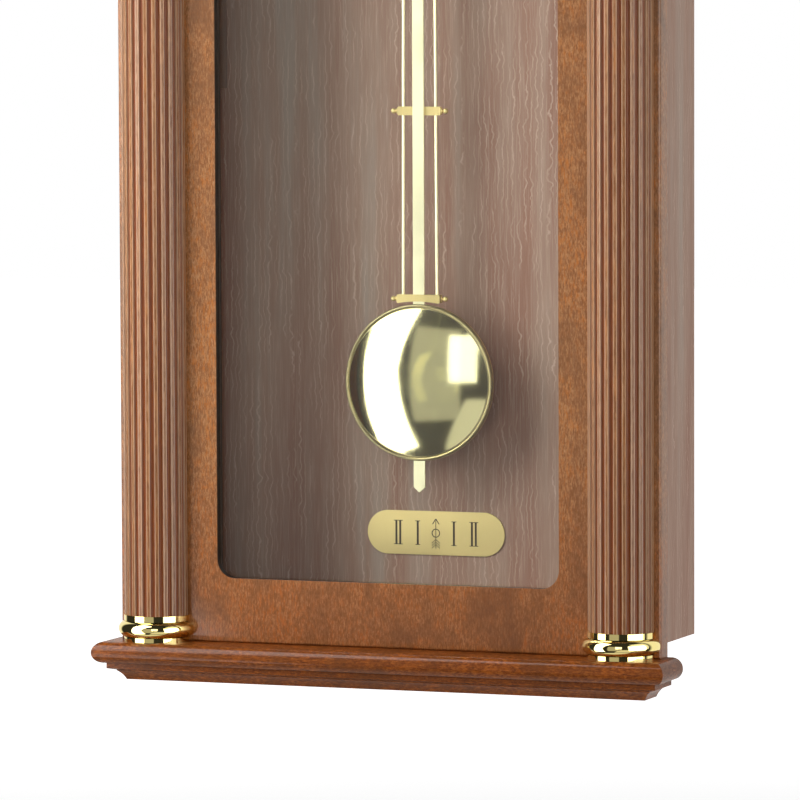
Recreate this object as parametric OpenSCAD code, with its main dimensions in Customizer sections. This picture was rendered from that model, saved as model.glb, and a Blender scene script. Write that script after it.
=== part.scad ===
// Pendulum wall clock with a hinged glazed door and fluted half columns.
// Units are millimetres. X runs to the right, Y towards the wall, Z up.
// The origin is the centre of the keyhole on the wall plane, on which the clock hangs.

/* [Door] */
// Width of the door frame
door_w = 290; // [276:1:320]
// Height of the door frame
door_h = 619; // [600:1:680]
// Thickness of the door frame
door_t = 11; // [10.5:0.5:16]
// Radius on the front outer edges of the door frame
door_edge_r = 1.5; // [0.5:0.5:4]
// Width of each door stile beside the window
stile_w = 53.2; // [48:0.2:58]
// Height of each door rail above and below the window
rail_h = 32.8; // [26:0.2:50]
// Radius of the window corners
window_r = 9.5; // [4:0.5:20]
// Thickness of the window glass
glass_t = 2.5; // [2:0.5:3]
// Depth of the glass behind the front of the door
glass_setback = 5; // [4:0.5:6]
// Width of the rebate that the glass lies in
glass_lap = 6; // [5:0.5:9]
// Clearance round the edge of the glass
glass_gap = 0.5; // [0.3:0.1:1]
// Width of the beads that hold the glass
bead_w = 5; // [3:0.5:5]

/* [Columns] */
// Radius of a half column over its ridges
column_r = 16.8; // [14:0.2:18]
// Distance from the door edge to the axis of a column
column_inset = 20.2; // [20:0.2:24]
// Number of flutes on a column
flute_count = 11; // [7:2:11]
// Angle from one flute to the next
flute_pitch = 15.25; // [12:0.25:16]
// Radius of the round bottom of a flute
flute_r = 1.2; // [0.6:0.1:1.3]
// Depth of a flute
flute_depth = 1.4; // [0.8:0.1:2]
// Radius of the two flat bands of a column ring
ring_band_r = 17.2; // [17:0.1:18.5]
// Radius of a column ring over its rounded middle
ring_r = 20; // [19:0.2:20]
// Height of the band next to the ledge
ring_foot_h = 2.2; // [2:0.1:5]
// Height of the rounded middle of a ring
ring_bulge_h = 8.2; // [7:0.2:12]
// Height of the band next to the shaft
ring_neck_h = 3; // [2:0.1:5]

/* [Base and cornice] */
// Thickness of the ledge board with its half-round edge
ledge_t = 11; // [9:0.5:16]
// How far the ledge stands out beyond each side of the door
ledge_side = 8; // [5:0.5:14]
// How far the ledge stands out in front of the door
ledge_front = 21; // [20.5:0.5:30]
// Thickness of the square strip of the moulding beyond the ledge
strip_t = 2.8; // [2:0.1:5]
// How far the strip is set in from the edge of the ledge
strip_in = 6; // [4:0.5:8]
// Width of the slanting soffit under the strip
soffit_in = 4; // [3:0.1:4.5]
// How far the soffit falls from the strip to the cove
soffit_drop = 1; // [0.3:0.1:1.5]
// Height of the small step between the soffit and the cove
cove_step = 0.4; // [0.2:0.1:0.8]
// Height of the soffit, the step and the cove together
cove_h = 6.1; // [5:0.1:8]
// Radius of the cove
cove_r = 10; // [8:0.5:14]
// How far the foot of the cove is set in from the edge of the ledge
cove_in = 13.8; // [13:0.1:18]

/* [Case] */
// Depth of the case, from its front edge to its back
case_depth = 65; // [63:1:80]
// How far each side of the case is set in behind the door
case_inset_x = 7.5; // [4.5:0.5:8]
// How far the top and bottom of the case are set in behind the door
case_inset_z = 4.5; // [4:0.5:12]
// Thickness of the side, top and bottom panels
panel_t = 9; // [8.5:0.5:12]
// Thickness of the back panel
back_t = 4; // [3:0.5:6]
// Width of the rebate in the panels that takes the back panel
back_lap = 5; // [3:0.5:6]
// Gap between the closed door and the case
seam = 0.8; // [0.7:0.1:1.2]
// Height of the top of the case above the keyhole
hook_drop = 34.5; // [30:0.5:45]
// Width of the service opening in the back panel
service_w = 104; // [90:1:130]
// Height of the service opening in the back panel
service_h = 118; // [112:1:130]

/* [Hanging] */
// Thickness of the keyhole plate, which is also that of the bumpers
hanger_t = 1.5; // [1:0.1:3]
// Width of the keyhole plate
hanger_w = 48; // [44:1:70]
// Height of the keyhole plate
hanger_h = 34; // [32:1:36]
// Radius of the round part of the keyhole
keyhole_r = 4.5; // [3.5:0.1:5.5]
// Width of the slot of the keyhole
keyhole_slot_w = 4.4; // [3:0.1:5]
// Height of the top of the keyhole above its round part's centre
keyhole_rise = 11; // [9:0.5:12]
// Depth of the hanging rail inside the case
hanging_rail_d = 12; // [11:0.5:16]
// Radius of a wall bumper
bumper_r = 6; // [4:0.5:10]
// Distance of each bumper from the edges of the case
bumper_in = 16; // [12:1:40]

/* [Hinges and catch] */
// Height of a hinge
hinge_h = 38; // [34:1:60]
// Distance from the end of the case to the middle of a hinge
hinge_in = 90; // [50:1:160]
// Outer radius of the hinge knuckles
knuckle_r = 2; // [1.8:0.1:2.2]
// Distance of the axis of the hinges from the edge of the door
hinge_edge = 2.1; // [2.1:0.1:5]
// Radius of the hinge pin
pin_r = 1; // [0.8:0.05:1.1]
// Thickness of a hinge leaf
leaf_t = 1; // [0.8:0.1:1.2]
// Width of a hinge leaf on the edge of the case
leaf_w = 8.2; // [7:0.1:8.4]
// Radius of the catch magnet
catch_r = 3.2; // [2.5:0.1:3.8]
// Length of the catch magnet
catch_l = 8; // [5:0.5:12]
// Height of the catch below the top of the case
catch_drop = 300; // [200:1:450]
// Radius of the strike disc on the door
strike_r = 4.2; // [3:0.1:4.4]

/* [Dial and hands] */
// Distance of the centre of the dial below the keyhole
dial_drop = 90; // [88:1:110]
// Radius of the dial plate
dial_r = 85; // [75:1:86]
// Thickness of the dial plate
dial_t = 0.8; // [0.5:0.1:1.5]
// Outer radius of the dial bezel
bezel_r = 88; // [87:0.5:89]
// Width of the bezel that laps over the dial plate
bezel_lap = 3; // [2:0.5:5]
// Height of the bezel in front of the dial board
bezel_h = 3.4; // [2.5:0.1:5]
// Thickness of the dial board
board_t = 3; // [3:0.5:4]
// Distance of the dial board behind the front edge of the case
board_set = 20.2; // [14:0.1:23]
// Distance from the centre of the dial to the lower edge of the dial board
board_drop = 95; // [92:1:115]
// Width of each batten behind the dial board
batten_w = 13.6; // [12:0.2:26]
// Distance from the centre of the dial to the foot of the battens
batten_drop = 210; // [190:1:240]
// Length of the minute hand from the centre
minute_hand_l = 72; // [60:1:76]
// Length of the hour hand from the centre
hour_hand_l = 52; // [40:1:58]
// Thickness of the hands
hand_t = 0.5; // [0.4:0.1:0.8]

/* [Beat plate] */
// Width of the beat plate
beat_w = 75; // [60:1:90]
// Height of the beat plate
beat_h = 22.5; // [16:0.5:26]
// Thickness of the beat plate
beat_t = 0.8; // [0.5:0.1:1.5]
// Height of the middle of the beat plate above the lower edge of the window
beat_up = 19.2; // [15:0.2:30]

/* [Pendulum] */
// Distance from the swing axis to the centre of the bob
pendulum_l = 341.1; // [320:0.1:345]
// Distance of the swing axis below the centre of the dial
pivot_drop = 18; // [17:0.5:20]
// Width of the flat centre rod
rod_w = 6.2; // [5:0.1:7]
// Thickness of the centre rod
rod_t = 1.2; // [1:0.1:1.6]
// Distance from the centre of the bob to the pointed end of the rod
rod_tip = 56.1; // [52:0.1:70]
// Height of the point of the rod
rod_point = 2.7; // [2:0.1:8]
// Radius of a side rod
side_rod_r = 0.9; // [0.6:0.05:1.1]
// Distance of each side rod from the middle at the lowest crossbar
side_rod_low = 9.2; // [8:0.1:11]
// Distance of each side rod from the middle at the highest crossbar
side_rod_high = 8.4; // [8:0.1:11]
// Height of the lowest crossbar above the centre of the bob
crossbar_up = 42.6; // [42.5:0.1:50]
// Spacing of the crossbars
crossbar_step = 95.3; // [80:0.1:100]
// Width of a crossbar without its finials
crossbar_w = 23.4; // [23:0.1:27]
// Height of a crossbar
crossbar_h = 4.4; // [3.6:0.1:5]
// Radius of the rounded ends of a crossbar
crossbar_end_r = 0.8; // [0.4:0.1:1.6]
// Thickness of a crossbar
crossbar_t = 2.2; // [2:0.1:3]
// Radius of the ball on the end of a crossbar
finial_r = 1.4; // [1:0.05:2]
// Radius of the bob
bob_r = 39.9; // [36:0.1:42]
// Width of the raised rim of the bob
bob_rim_w = 1.6; // [1:0.1:3]
// Height of the raised rim at the front and back of the bob
bob_rim_t = 1.2; // [0.8:0.1:2]
// Rise of the domed front of the bob
bob_front_h = 8; // [6:0.1:10]
// Rise of the domed back of the bob
bob_back_h = 5; // [3:0.1:8]
// Wall of the bob shells
bob_wall = 0.8; // [0.5:0.1:1.2]

/* [Movement] */
// Width of the movement to the left of the hands
movement_left = 32; // [31:0.5:40]
// Width of the movement to the right of the hands
movement_right = 39.5; // [39:0.5:46]
// Height of the movement above the hands
movement_up = 30; // [29:0.5:36]
// Height of the movement below the hands
movement_down = 62; // [60:0.5:64]
// Depth of the movement without its back cover
movement_d = 18; // [18:0.5:20]
// Wall of the movement case
movement_wall = 1.5; // [1.2:0.1:1.5]
// Thickness of the back cover of the movement
cover_t = 2; // [1.5:0.1:2.5]
// Module of the gears
gear_m = 0.4; // [0.4:0.01:0.41]
// Radius of the threaded bush that passes through the dial
bush_r = 4; // [3.8:0.1:4.5]
// Radius of the pipe of the hour wheel
pipe_r = 2.8; // [2.6:0.05:2.9]
// Radius of the minute arbor
arbor_r = 1.7; // [1.5:0.05:1.8]
// Radius of the battery
battery_r = 7.1; // [7:0.05:7.2]
// Length of the battery
battery_l = 50; // [49:0.5:51]
// Radius of the setting knob
knob_r = 6; // [5:0.5:8]
// Height of the setting knob
knob_h = 5; // [4:0.5:7]

/* [Hidden] */

$fn = 64;
// Small clearances: running fits, gaps between moving faces, and overshoot of cuts
running_gap = 0.05;
move_gap = 0.4;
bead_joint = 0.1;
cut = 1;

// Planes from the wall to the front of the door
case_back_y = -hanger_t;
case_front_y = case_back_y - case_depth;
door_back_y = case_front_y - seam;
door_front_y = door_back_y - door_t;
back_front_y = case_back_y - back_t;
glass_front_y = door_front_y + glass_setback;
glass_back_y = glass_front_y + glass_t;

// Heights of the case, the door and the window
case_w = door_w - 2 * case_inset_x;
case_top_z = hook_drop;
door_top_z = case_top_z + case_inset_z;
door_bottom_z = door_top_z - door_h;
case_bottom_z = door_bottom_z + case_inset_z;
inner_x = case_w / 2 - panel_t;
inner_top_z = case_top_z - panel_t;
inner_bottom_z = case_bottom_z + panel_t;
window_x = door_w / 2 - stile_w;
window_top_z = door_top_z - rail_h;
window_bottom_z = door_bottom_z + rail_h;

// Columns and their rings
column_x = door_w / 2 - column_inset;
ring_h = ring_foot_h + ring_bulge_h + ring_neck_h;

// Hinges: the pin lies beside the case, in the seam behind the edge of the door
hinge_x = hinge_edge - door_w / 2;
hinge_y = (case_front_y + door_back_y) / 2;
hinge_z = [case_bottom_z + hinge_in, case_top_z - hinge_in];
leaf_gap = 0.3;
leaf_end_x = -case_w / 2 + leaf_w;
leaf_start_x = hinge_x + knuckle_r + leaf_gap;
hinge_screw_x = (leaf_end_x - case_w / 2) / 2;
hinge_screw_step = hinge_h / 3;
hinge_screw_r = 1;
hinge_screw_l = 12;
door_screw_l = door_t - 3;
pin_head_h = 0.8;
pin_head_r = pin_r + 0.6;
knuckle_h = (hinge_h - 2 * leaf_gap) / 3;
catch_x = case_w / 2 - panel_t / 2;
catch_z = case_top_z - catch_drop;

// Keyhole plate, and the room behind it for the head of the wall screw
hanger_top_z = keyhole_rise + 7;
hanger_screw_in = 5;
head_half = keyhole_r + 4;
head_top_z = keyhole_rise + 2;
head_depth = 5;

// Dial, dial board and hands
dial_z = -dial_drop;
board_front_y = case_front_y + board_set;
board_back_y = board_front_y + board_t;
dial_front_y = board_front_y - dial_t;
board_bottom_z = dial_z - board_drop;
batten_bottom_z = dial_z - batten_drop;
service_top_z = dial_z + movement_up + 8;
board_screw_r = 1.5;
board_screw_l = 16;
board_screw_in = 12;
bush_hole_r = bush_r + 0.2;
washer_t = 0.5;
washer_r = bush_r + 3.4;
nut_t = 2.5;
nut_r = bush_r + 2.6;
bush_end_y = dial_front_y - washer_t - nut_t - 0.7;
hour_hand_y = bush_end_y - 1.1 - hand_t;
minute_hand_y = hour_hand_y - 2.4 - hand_t;
hand_nut_t = 2.5;
hand_nut_r = 2.4;
hand_nut_dome_r = 1.8;
minute_hub_r = 4;
hour_hub_r = 5;
// Rest positions of the hands, ten past ten
minute_angle = 60;
hour_angle = 305;
arbor_tip_r = 1.2;
arbor_tip_l = 1.4;

// Gears: teeth, and the layers in which they lie behind the dial board
cannon_n = 20;
minute_n = 60;
minute_pinion_n = 16;
hour_n = 64;
centre_n = 64;
small_pinion_n = 8;
third_n = 60;
second_n = 30;
gear_t = 1.2;
thin_gear_t = 0.8;
mesh = gear_m / 2;
minute_axis_dir = 225;
minute_axis = polar((cannon_n + minute_n) * mesh, minute_axis_dir);
third_axis_dir = 150;
third_axis = polar((centre_n + small_pinion_n) * mesh, third_axis_dir);
second_axis_dir = 60;
second_axis = third_axis + polar((third_n + small_pinion_n) * mesh, second_axis_dir);
rotor_pinion_n = 6;
rotor_pinion_r = 0.8;
rotor_r = 2.2;
rotor_axis = second_axis + [(second_n + rotor_pinion_n) * mesh + 0.3, 0];
movement_y = board_back_y + movement_wall;
hour_gear_y = movement_y + 0.5;
cannon_y = hour_gear_y + gear_t + 0.4;
minute_gear_y = cannon_y + 0.2;
centre_gear_y = cannon_y + 2.6;
third_gear_y = centre_gear_y + 1.8;
second_gear_y = centre_gear_y - 1.7;
pinion_t = 1.5;
pinion_lead = 0.3;
plate_y = board_back_y + 10;
plate_t = 1.2;
plate_down = 24;
pivot_r = 0.6;
pivot_y = board_back_y + 0.4;
pivot_l = plate_y + plate_t - pivot_y;
arbor_pivot_r = 0.8;
stem_r = 1.5;
cover_y = board_back_y + movement_d;
knob_y = cover_y + cover_t + 0.4;
knob_bore = knob_h - 1.4;
stub_r = 1;
knurl_n = 18;
knurl_r = 0.45;

// Battery bay
bay_wall_t = 1.2;
battery_x = movement_right - movement_wall - battery_r - 1.2;
bay_wall_x = battery_x - battery_r - bay_wall_t;
battery_z = dial_z - 4;
battery_y = cover_y - battery_r - 0.4;
terminal_r = 2.7;
terminal_h = 1;
contact_t = 0.6;
contact_w = 10;

// Circuit board, stator and the posts that carry them, with their places [x, z]
circuit_y = movement_y + 0.8;
circuit_t = 1.2;
circuit_left = -28;
circuit_bottom_z = dial_z - 58;
circuit_h = 32;
chip_w = 7;
stator_y = movement_y + 0.5;
stator_t = 1;
stepper_x = bay_wall_x - 4.2;
stepper_y = stator_y + stator_t + 3;
stepper_l = 21;
stepper_r = 2.4;
stepper_flange_r = 3;
stepper_flange_t = 1;
stator_left = 4;
stator_low = 4.5;
stator_h = 12.5;
stator_gap = 0.5;
post_r = 1.8;
stator_post_r = 1;
bay_half_w = battery_r + 0.6;
bay_half_h = battery_l / 2 + 4;
chip_in = 4;
chip_up = 8;
chip_t = 1.2;
circuit_gap = 1;
circuit_posts = [for (x = [-24, 12], z = [-30, -54]) [x, dial_z + z]];
plate_posts = [for (x = [-27, 16.5]) [x, dial_z - 20]];
stator_posts = [for (x = [9, 16]) [x, dial_z + 24]];

// Pendulum: the lever, the rod hung on its peg, and the bob
pivot_z = dial_z - pivot_drop;
bob_z = pivot_z - pendulum_l;
lever_y = plate_y + plate_t + 0.4;
lever_t = 1.6;
lever_w = 5;
lever_head_r = 4;
lever_pin_r = 0.8;
lever_slot_w = 16;
rod_y = lever_y + lever_t + 0.2;
rod_mid_y = rod_y + rod_t / 2;
rod_eye_r = rod_w / 2 + 0.5;
peg_r = 1;
peg_head_r = 1.8;
peg_head_t = 0.6;
peg_z = dial_z - movement_down - 4;
magnet_r = 4;
magnet_t = 2.5;
magnet_z = pivot_z - 27;
coil_r = 7;
coil_bore_r = 2.5;
coil_back_y = lever_y - magnet_t - 0.8;
side_rod_y = rod_y + rod_t + crossbar_t / 2;
side_rod_sunk = 1.5;
side_rod_tilt = atan((side_rod_low - side_rod_high) / (2 * crossbar_step));
crossbar_low_z = bob_z + crossbar_up;
crossbar_front_lip = 1;
crossbar_arch = 0.9;
finial_neck_r = 0.7;
finial_neck_l = 1;
finial_collar_r = 1.3;
finial_collar_t = 0.5;
finial_root = 1;

function polar(r, a) = [r * cos(a), r * sin(a)];

// Points of a gear with n teeth, with one tooth centred on the direction "start"
function gear_points(n, start) = let (
        pitch_r = n * gear_m / 2,
        root_r = pitch_r - 1.15 * gear_m,
        tip_r = pitch_r + 0.8 * gear_m,
        step = 360 / n)
    [for (i = [0 : n - 1], p = [[root_r, -0.31], [pitch_r, -0.2], [tip_r, -0.1],
                                [tip_r, 0.1], [pitch_r, 0.2], [root_r, 0.31]])
        polar(p[0], start + (i + p[1]) * step)];

// Extrudes a flat shape drawn in X and Z along Y, from y0 over a depth
module along_y(y0, depth) {
    translate([0, y0 + depth, 0]) rotate([90, 0, 0]) linear_extrude(depth) children();
}

// A round bar along Y at the place [x, z]
module bar_y(at, y0, depth, r) {
    translate([at[0], y0 + depth, at[1]]) rotate([90, 0, 0]) cylinder(h = depth, r = r);
}

module gear(at, y0, depth, n, start) {
    along_y(y0, depth) translate(at) polygon(gear_points(n, start));
}

// A rectangle with rounded corners, centred across and standing on z0
module rounded_window(half_w, z0, z1, r) {
    translate([-half_w, z0 + r]) square([2 * half_w, z1 - z0 - 2 * r]);
    translate([-half_w + r, z0]) square([2 * half_w - 2 * r, z1 - z0]);
    for (x = [-half_w + r, half_w - r], z = [z0 + r, z1 - r]) translate([x, z]) circle(r);
}

// A countersunk wood screw along +Y, with its head flush with y = 0
module wood_screw(r, length) {
    rotate([-90, 0, 0]) rotate_extrude()
        polygon([[0, 0], [2 * r, 0], [r, r], [r, length - 1.5 * r], [0, length]]);
}

// Case

// A side panel with the rebate for the back panel, drawn for the left side
module side_panel_blank() {
    difference() {
        translate([-case_w / 2, case_front_y, case_bottom_z])
            cube([panel_t, case_depth, case_top_z - case_bottom_z]);
        translate([-inner_x - back_lap, back_front_y, inner_bottom_z - back_lap])
            cube([back_lap + cut, back_t + cut, inner_top_z - inner_bottom_z + 2 * back_lap]);
    }
}

module side_panel_left() {
    color([0.47, 0.36, 0.30]) difference() {
        side_panel_blank();
        for (z = hinge_z)
            translate([-case_w / 2 - cut, case_front_y - cut, z - hinge_h / 2])
                cube([leaf_w + cut, cut + leaf_t + leaf_gap / 2 - seam / 2, hinge_h]);
        hinge_case_screw_set();
    }
}

module side_panel_right() {
    color([0.47, 0.36, 0.30]) difference() {
        mirror([1, 0, 0]) side_panel_blank();
        bar_y([catch_x, catch_z], case_front_y - cut, catch_l + cut, catch_r);
    }
}

// A level panel between the sides, with its rebate towards the back on one face
module level_panel(z0, rebate_z) {
    difference() {
        translate([-inner_x, case_front_y, z0]) cube([2 * inner_x, case_depth, panel_t]);
        translate([-inner_x - cut, back_front_y, rebate_z])
            cube([2 * inner_x + 2 * cut, back_t + cut, back_lap + cut]);
    }
}

module top_panel() {
    color([0.47, 0.36, 0.30]) level_panel(inner_top_z, inner_top_z - cut);
}

module bottom_panel() {
    color([0.47, 0.36, 0.30]) level_panel(case_bottom_z, inner_bottom_z - back_lap);
}

// The space for the head of the wall screw, behind the keyhole
module screw_head_space(y0, depth) {
    translate([-head_half, y0, -head_half])
        cube([2 * head_half, depth, head_top_z + head_half]);
}

module back_panel() {
    color([0.50, 0.40, 0.34]) difference() {
        translate([-inner_x - back_lap, back_front_y, inner_bottom_z - back_lap])
            cube([2 * (inner_x + back_lap), back_t, inner_top_z - inner_bottom_z + 2 * back_lap]);
        screw_head_space(back_front_y - cut, back_t + 2 * cut);
        translate([-service_w / 2, back_front_y - cut, service_top_z - service_h])
            cube([service_w, back_t + 2 * cut, service_h]);
        hanger_screw_set();
    }
}

// A batten across the top of the case that takes the weight at the keyhole plate
module hanging_rail() {
    rail_bottom_z = hanger_top_z - hanger_h;
    color([0.72, 0.58, 0.42]) difference() {
        translate([-inner_x + batten_w, back_front_y - hanging_rail_d, rail_bottom_z])
            cube([2 * (inner_x - batten_w), hanging_rail_d, inner_top_z - rail_bottom_z]);
        screw_head_space(back_front_y - head_depth, head_depth + cut);
        hanger_screw_set();
    }
}

module keyhole_plate() {
    color([0.72, 0.72, 0.74]) difference() {
        along_y(case_back_y, hanger_t) difference() {
            translate([-hanger_w / 2, hanger_top_z - hanger_h])
                square([hanger_w, hanger_h]);
            circle(keyhole_r);
            translate([-keyhole_slot_w / 2, 0])
                square([keyhole_slot_w, keyhole_rise - keyhole_slot_w / 2]);
            translate([0, keyhole_rise - keyhole_slot_w / 2]) circle(keyhole_slot_w / 2);
        }
        hanger_screw_set();
    }
}

module hanger_screw_set() {
    screw_l = hanger_t + back_t + hanging_rail_d - 2;
    for (x = [-1, 1], z = [-1, 1])
        translate([x * (hanger_w / 2 - hanger_screw_in), 0,
                hanger_top_z - hanger_h / 2 + z * (hanger_h / 2 - hanger_screw_in)])
            mirror([0, 1, 0]) wood_screw(board_screw_r, screw_l);
}

// Screws of the keyhole plate, the dial board and the case leaves of the hinges
module case_screws() {
    color([0.75, 0.66, 0.45]) {
        hanger_screw_set();
        board_screw_set();
        hinge_case_screw_set();
    }
}

module wall_bumpers() {
    color([0.15, 0.15, 0.15])
        for (x = [-1, 1])
            bar_y([x * (case_w / 2 - bumper_in), case_bottom_z + bumper_in], case_back_y,
                hanger_t, bumper_r);
}

module catch_magnet() {
    color([0.35, 0.35, 0.37])
        bar_y([catch_x, catch_z], case_front_y, catch_l, catch_r);
}

// Hinges

// Knuckles and web of one leaf: "own" gives its knuckles, counted from the lowest as 0
module hinge_leaf(z0, own, y0) {
    difference() {
        union() {
            translate([leaf_start_x, y0, z0]) cube([leaf_end_x - leaf_start_x, leaf_t, hinge_h]);
            for (k = own) translate([0, 0, z0 + k * (knuckle_h + leaf_gap)]) {
                translate([hinge_x, hinge_y, 0]) cylinder(h = knuckle_h, r = knuckle_r);
                translate([hinge_x, y0, 0]) cube([leaf_start_x - hinge_x, leaf_t, knuckle_h]);
            }
        }
        translate([hinge_x, hinge_y, z0 - cut])
            cylinder(h = hinge_h + 2 * cut, r = pin_r + running_gap);
    }
}

module hinge_case_leaves() {
    color([0.80, 0.66, 0.34]) difference() {
        for (z = hinge_z) hinge_leaf(z - hinge_h / 2, [0, 2], hinge_y + leaf_gap / 2);
        hinge_case_screw_set();
    }
}

module hinge_door_leaves() {
    color([0.80, 0.66, 0.34]) difference() {
        for (z = hinge_z) hinge_leaf(z - hinge_h / 2, [1], hinge_y - leaf_gap / 2 - leaf_t);
        hinge_door_screw_set();
    }
}

// Each pin hangs by its head on the top knuckle
module hinge_pins() {
    color([0.80, 0.66, 0.34])
        for (z = hinge_z) translate([hinge_x, hinge_y, z - hinge_h / 2]) {
            cylinder(h = hinge_h, r = pin_r);
            translate([0, 0, hinge_h]) cylinder(h = pin_head_h, r = pin_head_r);
        }
}

module hinge_case_screw_set() {
    for (z = hinge_z, s = [-1, 1])
        translate([hinge_screw_x, hinge_y + leaf_gap / 2, z + s * hinge_screw_step])
            wood_screw(hinge_screw_r, hinge_screw_l);
}

module hinge_door_screw_set() {
    for (z = hinge_z, s = [-1, 1])
        translate([hinge_screw_x, hinge_y - leaf_gap / 2, z + s * hinge_screw_step])
            mirror([0, 1, 0]) wood_screw(hinge_screw_r, door_screw_l);
}

module hinge_door_screws() {
    color([0.80, 0.66, 0.34]) hinge_door_screw_set();
}

// Door

// A board with rounded front edges on all four sides
module door_board() {
    intersection() {
        translate([0, 0, door_bottom_z]) linear_extrude(door_h)
            rounded_front(door_w, door_edge_r);
        translate([door_w / 2, 0, (door_top_z + door_bottom_z) / 2]) rotate([0, -90, 0])
            linear_extrude(door_w) rounded_front(door_h, door_edge_r);
    }
}

// The section of that board: width along X, front towards -Y
module rounded_front(width, r) {
    translate([-width / 2, door_front_y + r]) square([width, door_t - r]);
    translate([-width / 2 + r, door_front_y]) square([width - 2 * r, door_t]);
    for (s = [-1, 1]) translate([s * (width / 2 - r), door_front_y + r]) circle(r);
}

module door_frame() {
    color([0.52, 0.30, 0.16]) difference() {
        door_board();
        along_y(door_front_y - cut, door_t + 2 * cut)
            rounded_window(window_x, window_bottom_z, window_top_z, window_r);
        translate([-window_x - glass_lap, glass_front_y, window_bottom_z - glass_lap])
            cube([2 * (window_x + glass_lap), door_t,
                window_top_z - window_bottom_z + 2 * glass_lap]);
        for (z = hinge_z) hinge_pocket(z - hinge_h / 2);
        hinge_door_screw_set();
    }
}

// Room in the back of the door for a leaf and for the knuckles at its edge
module hinge_pocket(z0) {
    pocket_y = hinge_y - leaf_gap / 2 - leaf_t;
    notch_r = knuckle_r + move_gap;
    notch_h = hinge_h + pin_head_h + 2 * move_gap;
    translate([hinge_x, pocket_y, z0]) cube([leaf_end_x - hinge_x, door_t, hinge_h]);
    translate([hinge_x, hinge_y, z0 - move_gap]) cylinder(h = notch_h, r = notch_r);
    translate([-door_w / 2 - cut, hinge_y - notch_r, z0 - move_gap])
        cube([hinge_x + door_w / 2 + cut, door_t, notch_h]);
}

module window_glass() {
    half_w = window_x + glass_lap - glass_gap;
    color([0.80, 0.88, 0.88, 0.35])
        translate([-half_w, glass_front_y, window_bottom_z - glass_lap + glass_gap])
            cube([2 * half_w, glass_t,
                window_top_z - window_bottom_z + 2 * (glass_lap - glass_gap)]);
}

// Four strips behind the glass, in the corner of the rebate
module glass_beads() {
    half_w = window_x + glass_lap;
    z0 = window_bottom_z - glass_lap;
    height = window_top_z - window_bottom_z + 2 * glass_lap;
    depth = door_back_y - glass_back_y;
    short_x = half_w - bead_w - bead_joint;
    color([0.35, 0.20, 0.12]) {
        for (x = [-half_w, half_w - bead_w])
            translate([x, glass_back_y, z0]) cube([bead_w, depth, height]);
        for (z = [z0, z0 + height - bead_w])
            translate([-short_x, glass_back_y, z]) cube([2 * short_x, depth, bead_w]);
    }
}

// The half column's section, flat side on the front of the door
module column_section() {
    difference() {
        intersection() {
            circle(column_r, $fn = 128);
            translate([-column_r, -column_r]) square([2 * column_r, column_r]);
        }
        for (k = [0 : flute_count - 1])
            rotate(-90 + (k - (flute_count - 1) / 2) * flute_pitch) {
                translate([column_r - flute_depth + flute_r, 0]) circle(flute_r);
                translate([column_r - flute_depth + flute_r, -flute_r])
                    square([flute_depth + cut, 2 * flute_r]);
            }
    }
}

module column(x) {
    translate([x, door_front_y, door_bottom_z + ring_h])
        linear_extrude(door_h - 2 * ring_h) column_section();
}

module column_left() {
    color([0.55, 0.33, 0.19]) column(-column_x);
}

module column_right() {
    color([0.55, 0.33, 0.19]) column(column_x);
}

// A half ring with two flat bands and a rounded middle, standing on z = 0
module column_ring() {
    bulge_r = ring_bulge_h / 2;
    rotate([0, 0, 180]) rotate_extrude(angle = 180, $fn = 96) {
        square([ring_band_r, ring_foot_h]);
        translate([0, ring_foot_h]) square([ring_r - bulge_r, ring_bulge_h]);
        translate([ring_r - bulge_r, ring_foot_h + bulge_r]) circle(bulge_r);
        translate([0, ring_foot_h + ring_bulge_h]) square([ring_band_r, ring_neck_h]);
    }
}

module column_bases() {
    color([0.86, 0.72, 0.36])
        for (x = [-column_x, column_x])
            translate([x, door_front_y, door_bottom_z]) column_ring();
}

module column_caps() {
    color([0.86, 0.72, 0.36])
        for (x = [-column_x, column_x])
            translate([x, door_front_y, door_top_z]) mirror([0, 0, 1]) column_ring();
}

// A moulding mitred round the front and both ends. Its child is the section, drawn with
// X as the distance in from the outer edge of the ledge and Y as the height.
module mitred() {
    half_w = door_w / 2 + ledge_side;
    front_y = door_front_y - ledge_front;
    intersection() {
        translate([-half_w, front_y, 0]) rotate([90, 0, 90])
            linear_extrude(2 * half_w) children();
        along_y(front_y, door_back_y - front_y) intersection() {
            translate([-half_w, 0]) children();
            translate([half_w, 0]) mirror([1, 0]) children();
        }
    }
}

module ledge_section() {
    translate([ledge_t / 2, 0]) square([2 * door_w, ledge_t]);
    translate([ledge_t / 2, ledge_t / 2]) circle(ledge_t / 2);
}

// The strip, the soffit under it, and a cove whose arc runs from the step to the foot
module cove_section() {
    far_x = 2 * door_w;
    lip_x = strip_in + soffit_in;
    lip_y = cove_h - soffit_drop;
    arc_y = lip_y - cove_step;
    chord = [cove_in - lip_x, -arc_y];
    half = norm(chord) / 2;
    share = sqrt(cove_r * cove_r - half * half) / (2 * half);
    top_y = cove_h + strip_t;
    polygon([[strip_in, top_y], [strip_in, cove_h], [lip_x, lip_y], [far_x, lip_y],
        [far_x, top_y]]);
    difference() {
        translate([lip_x, 0]) square([far_x - lip_x, lip_y]);
        translate([(lip_x + cove_in) / 2 + share * chord[1], arc_y / 2 - share * chord[0]])
            circle(cove_r);
    }
}

module base_board() {
    color([0.50, 0.28, 0.15]) translate([0, 0, door_bottom_z - ledge_t])
        mitred() ledge_section();
}

module base_moulding() {
    color([0.50, 0.28, 0.15]) translate([0, 0, door_bottom_z - ledge_t - strip_t - cove_h])
        mitred() cove_section();
}

module cornice_board() {
    color([0.50, 0.28, 0.15]) translate([0, 0, door_top_z]) mitred() ledge_section();
}

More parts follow.
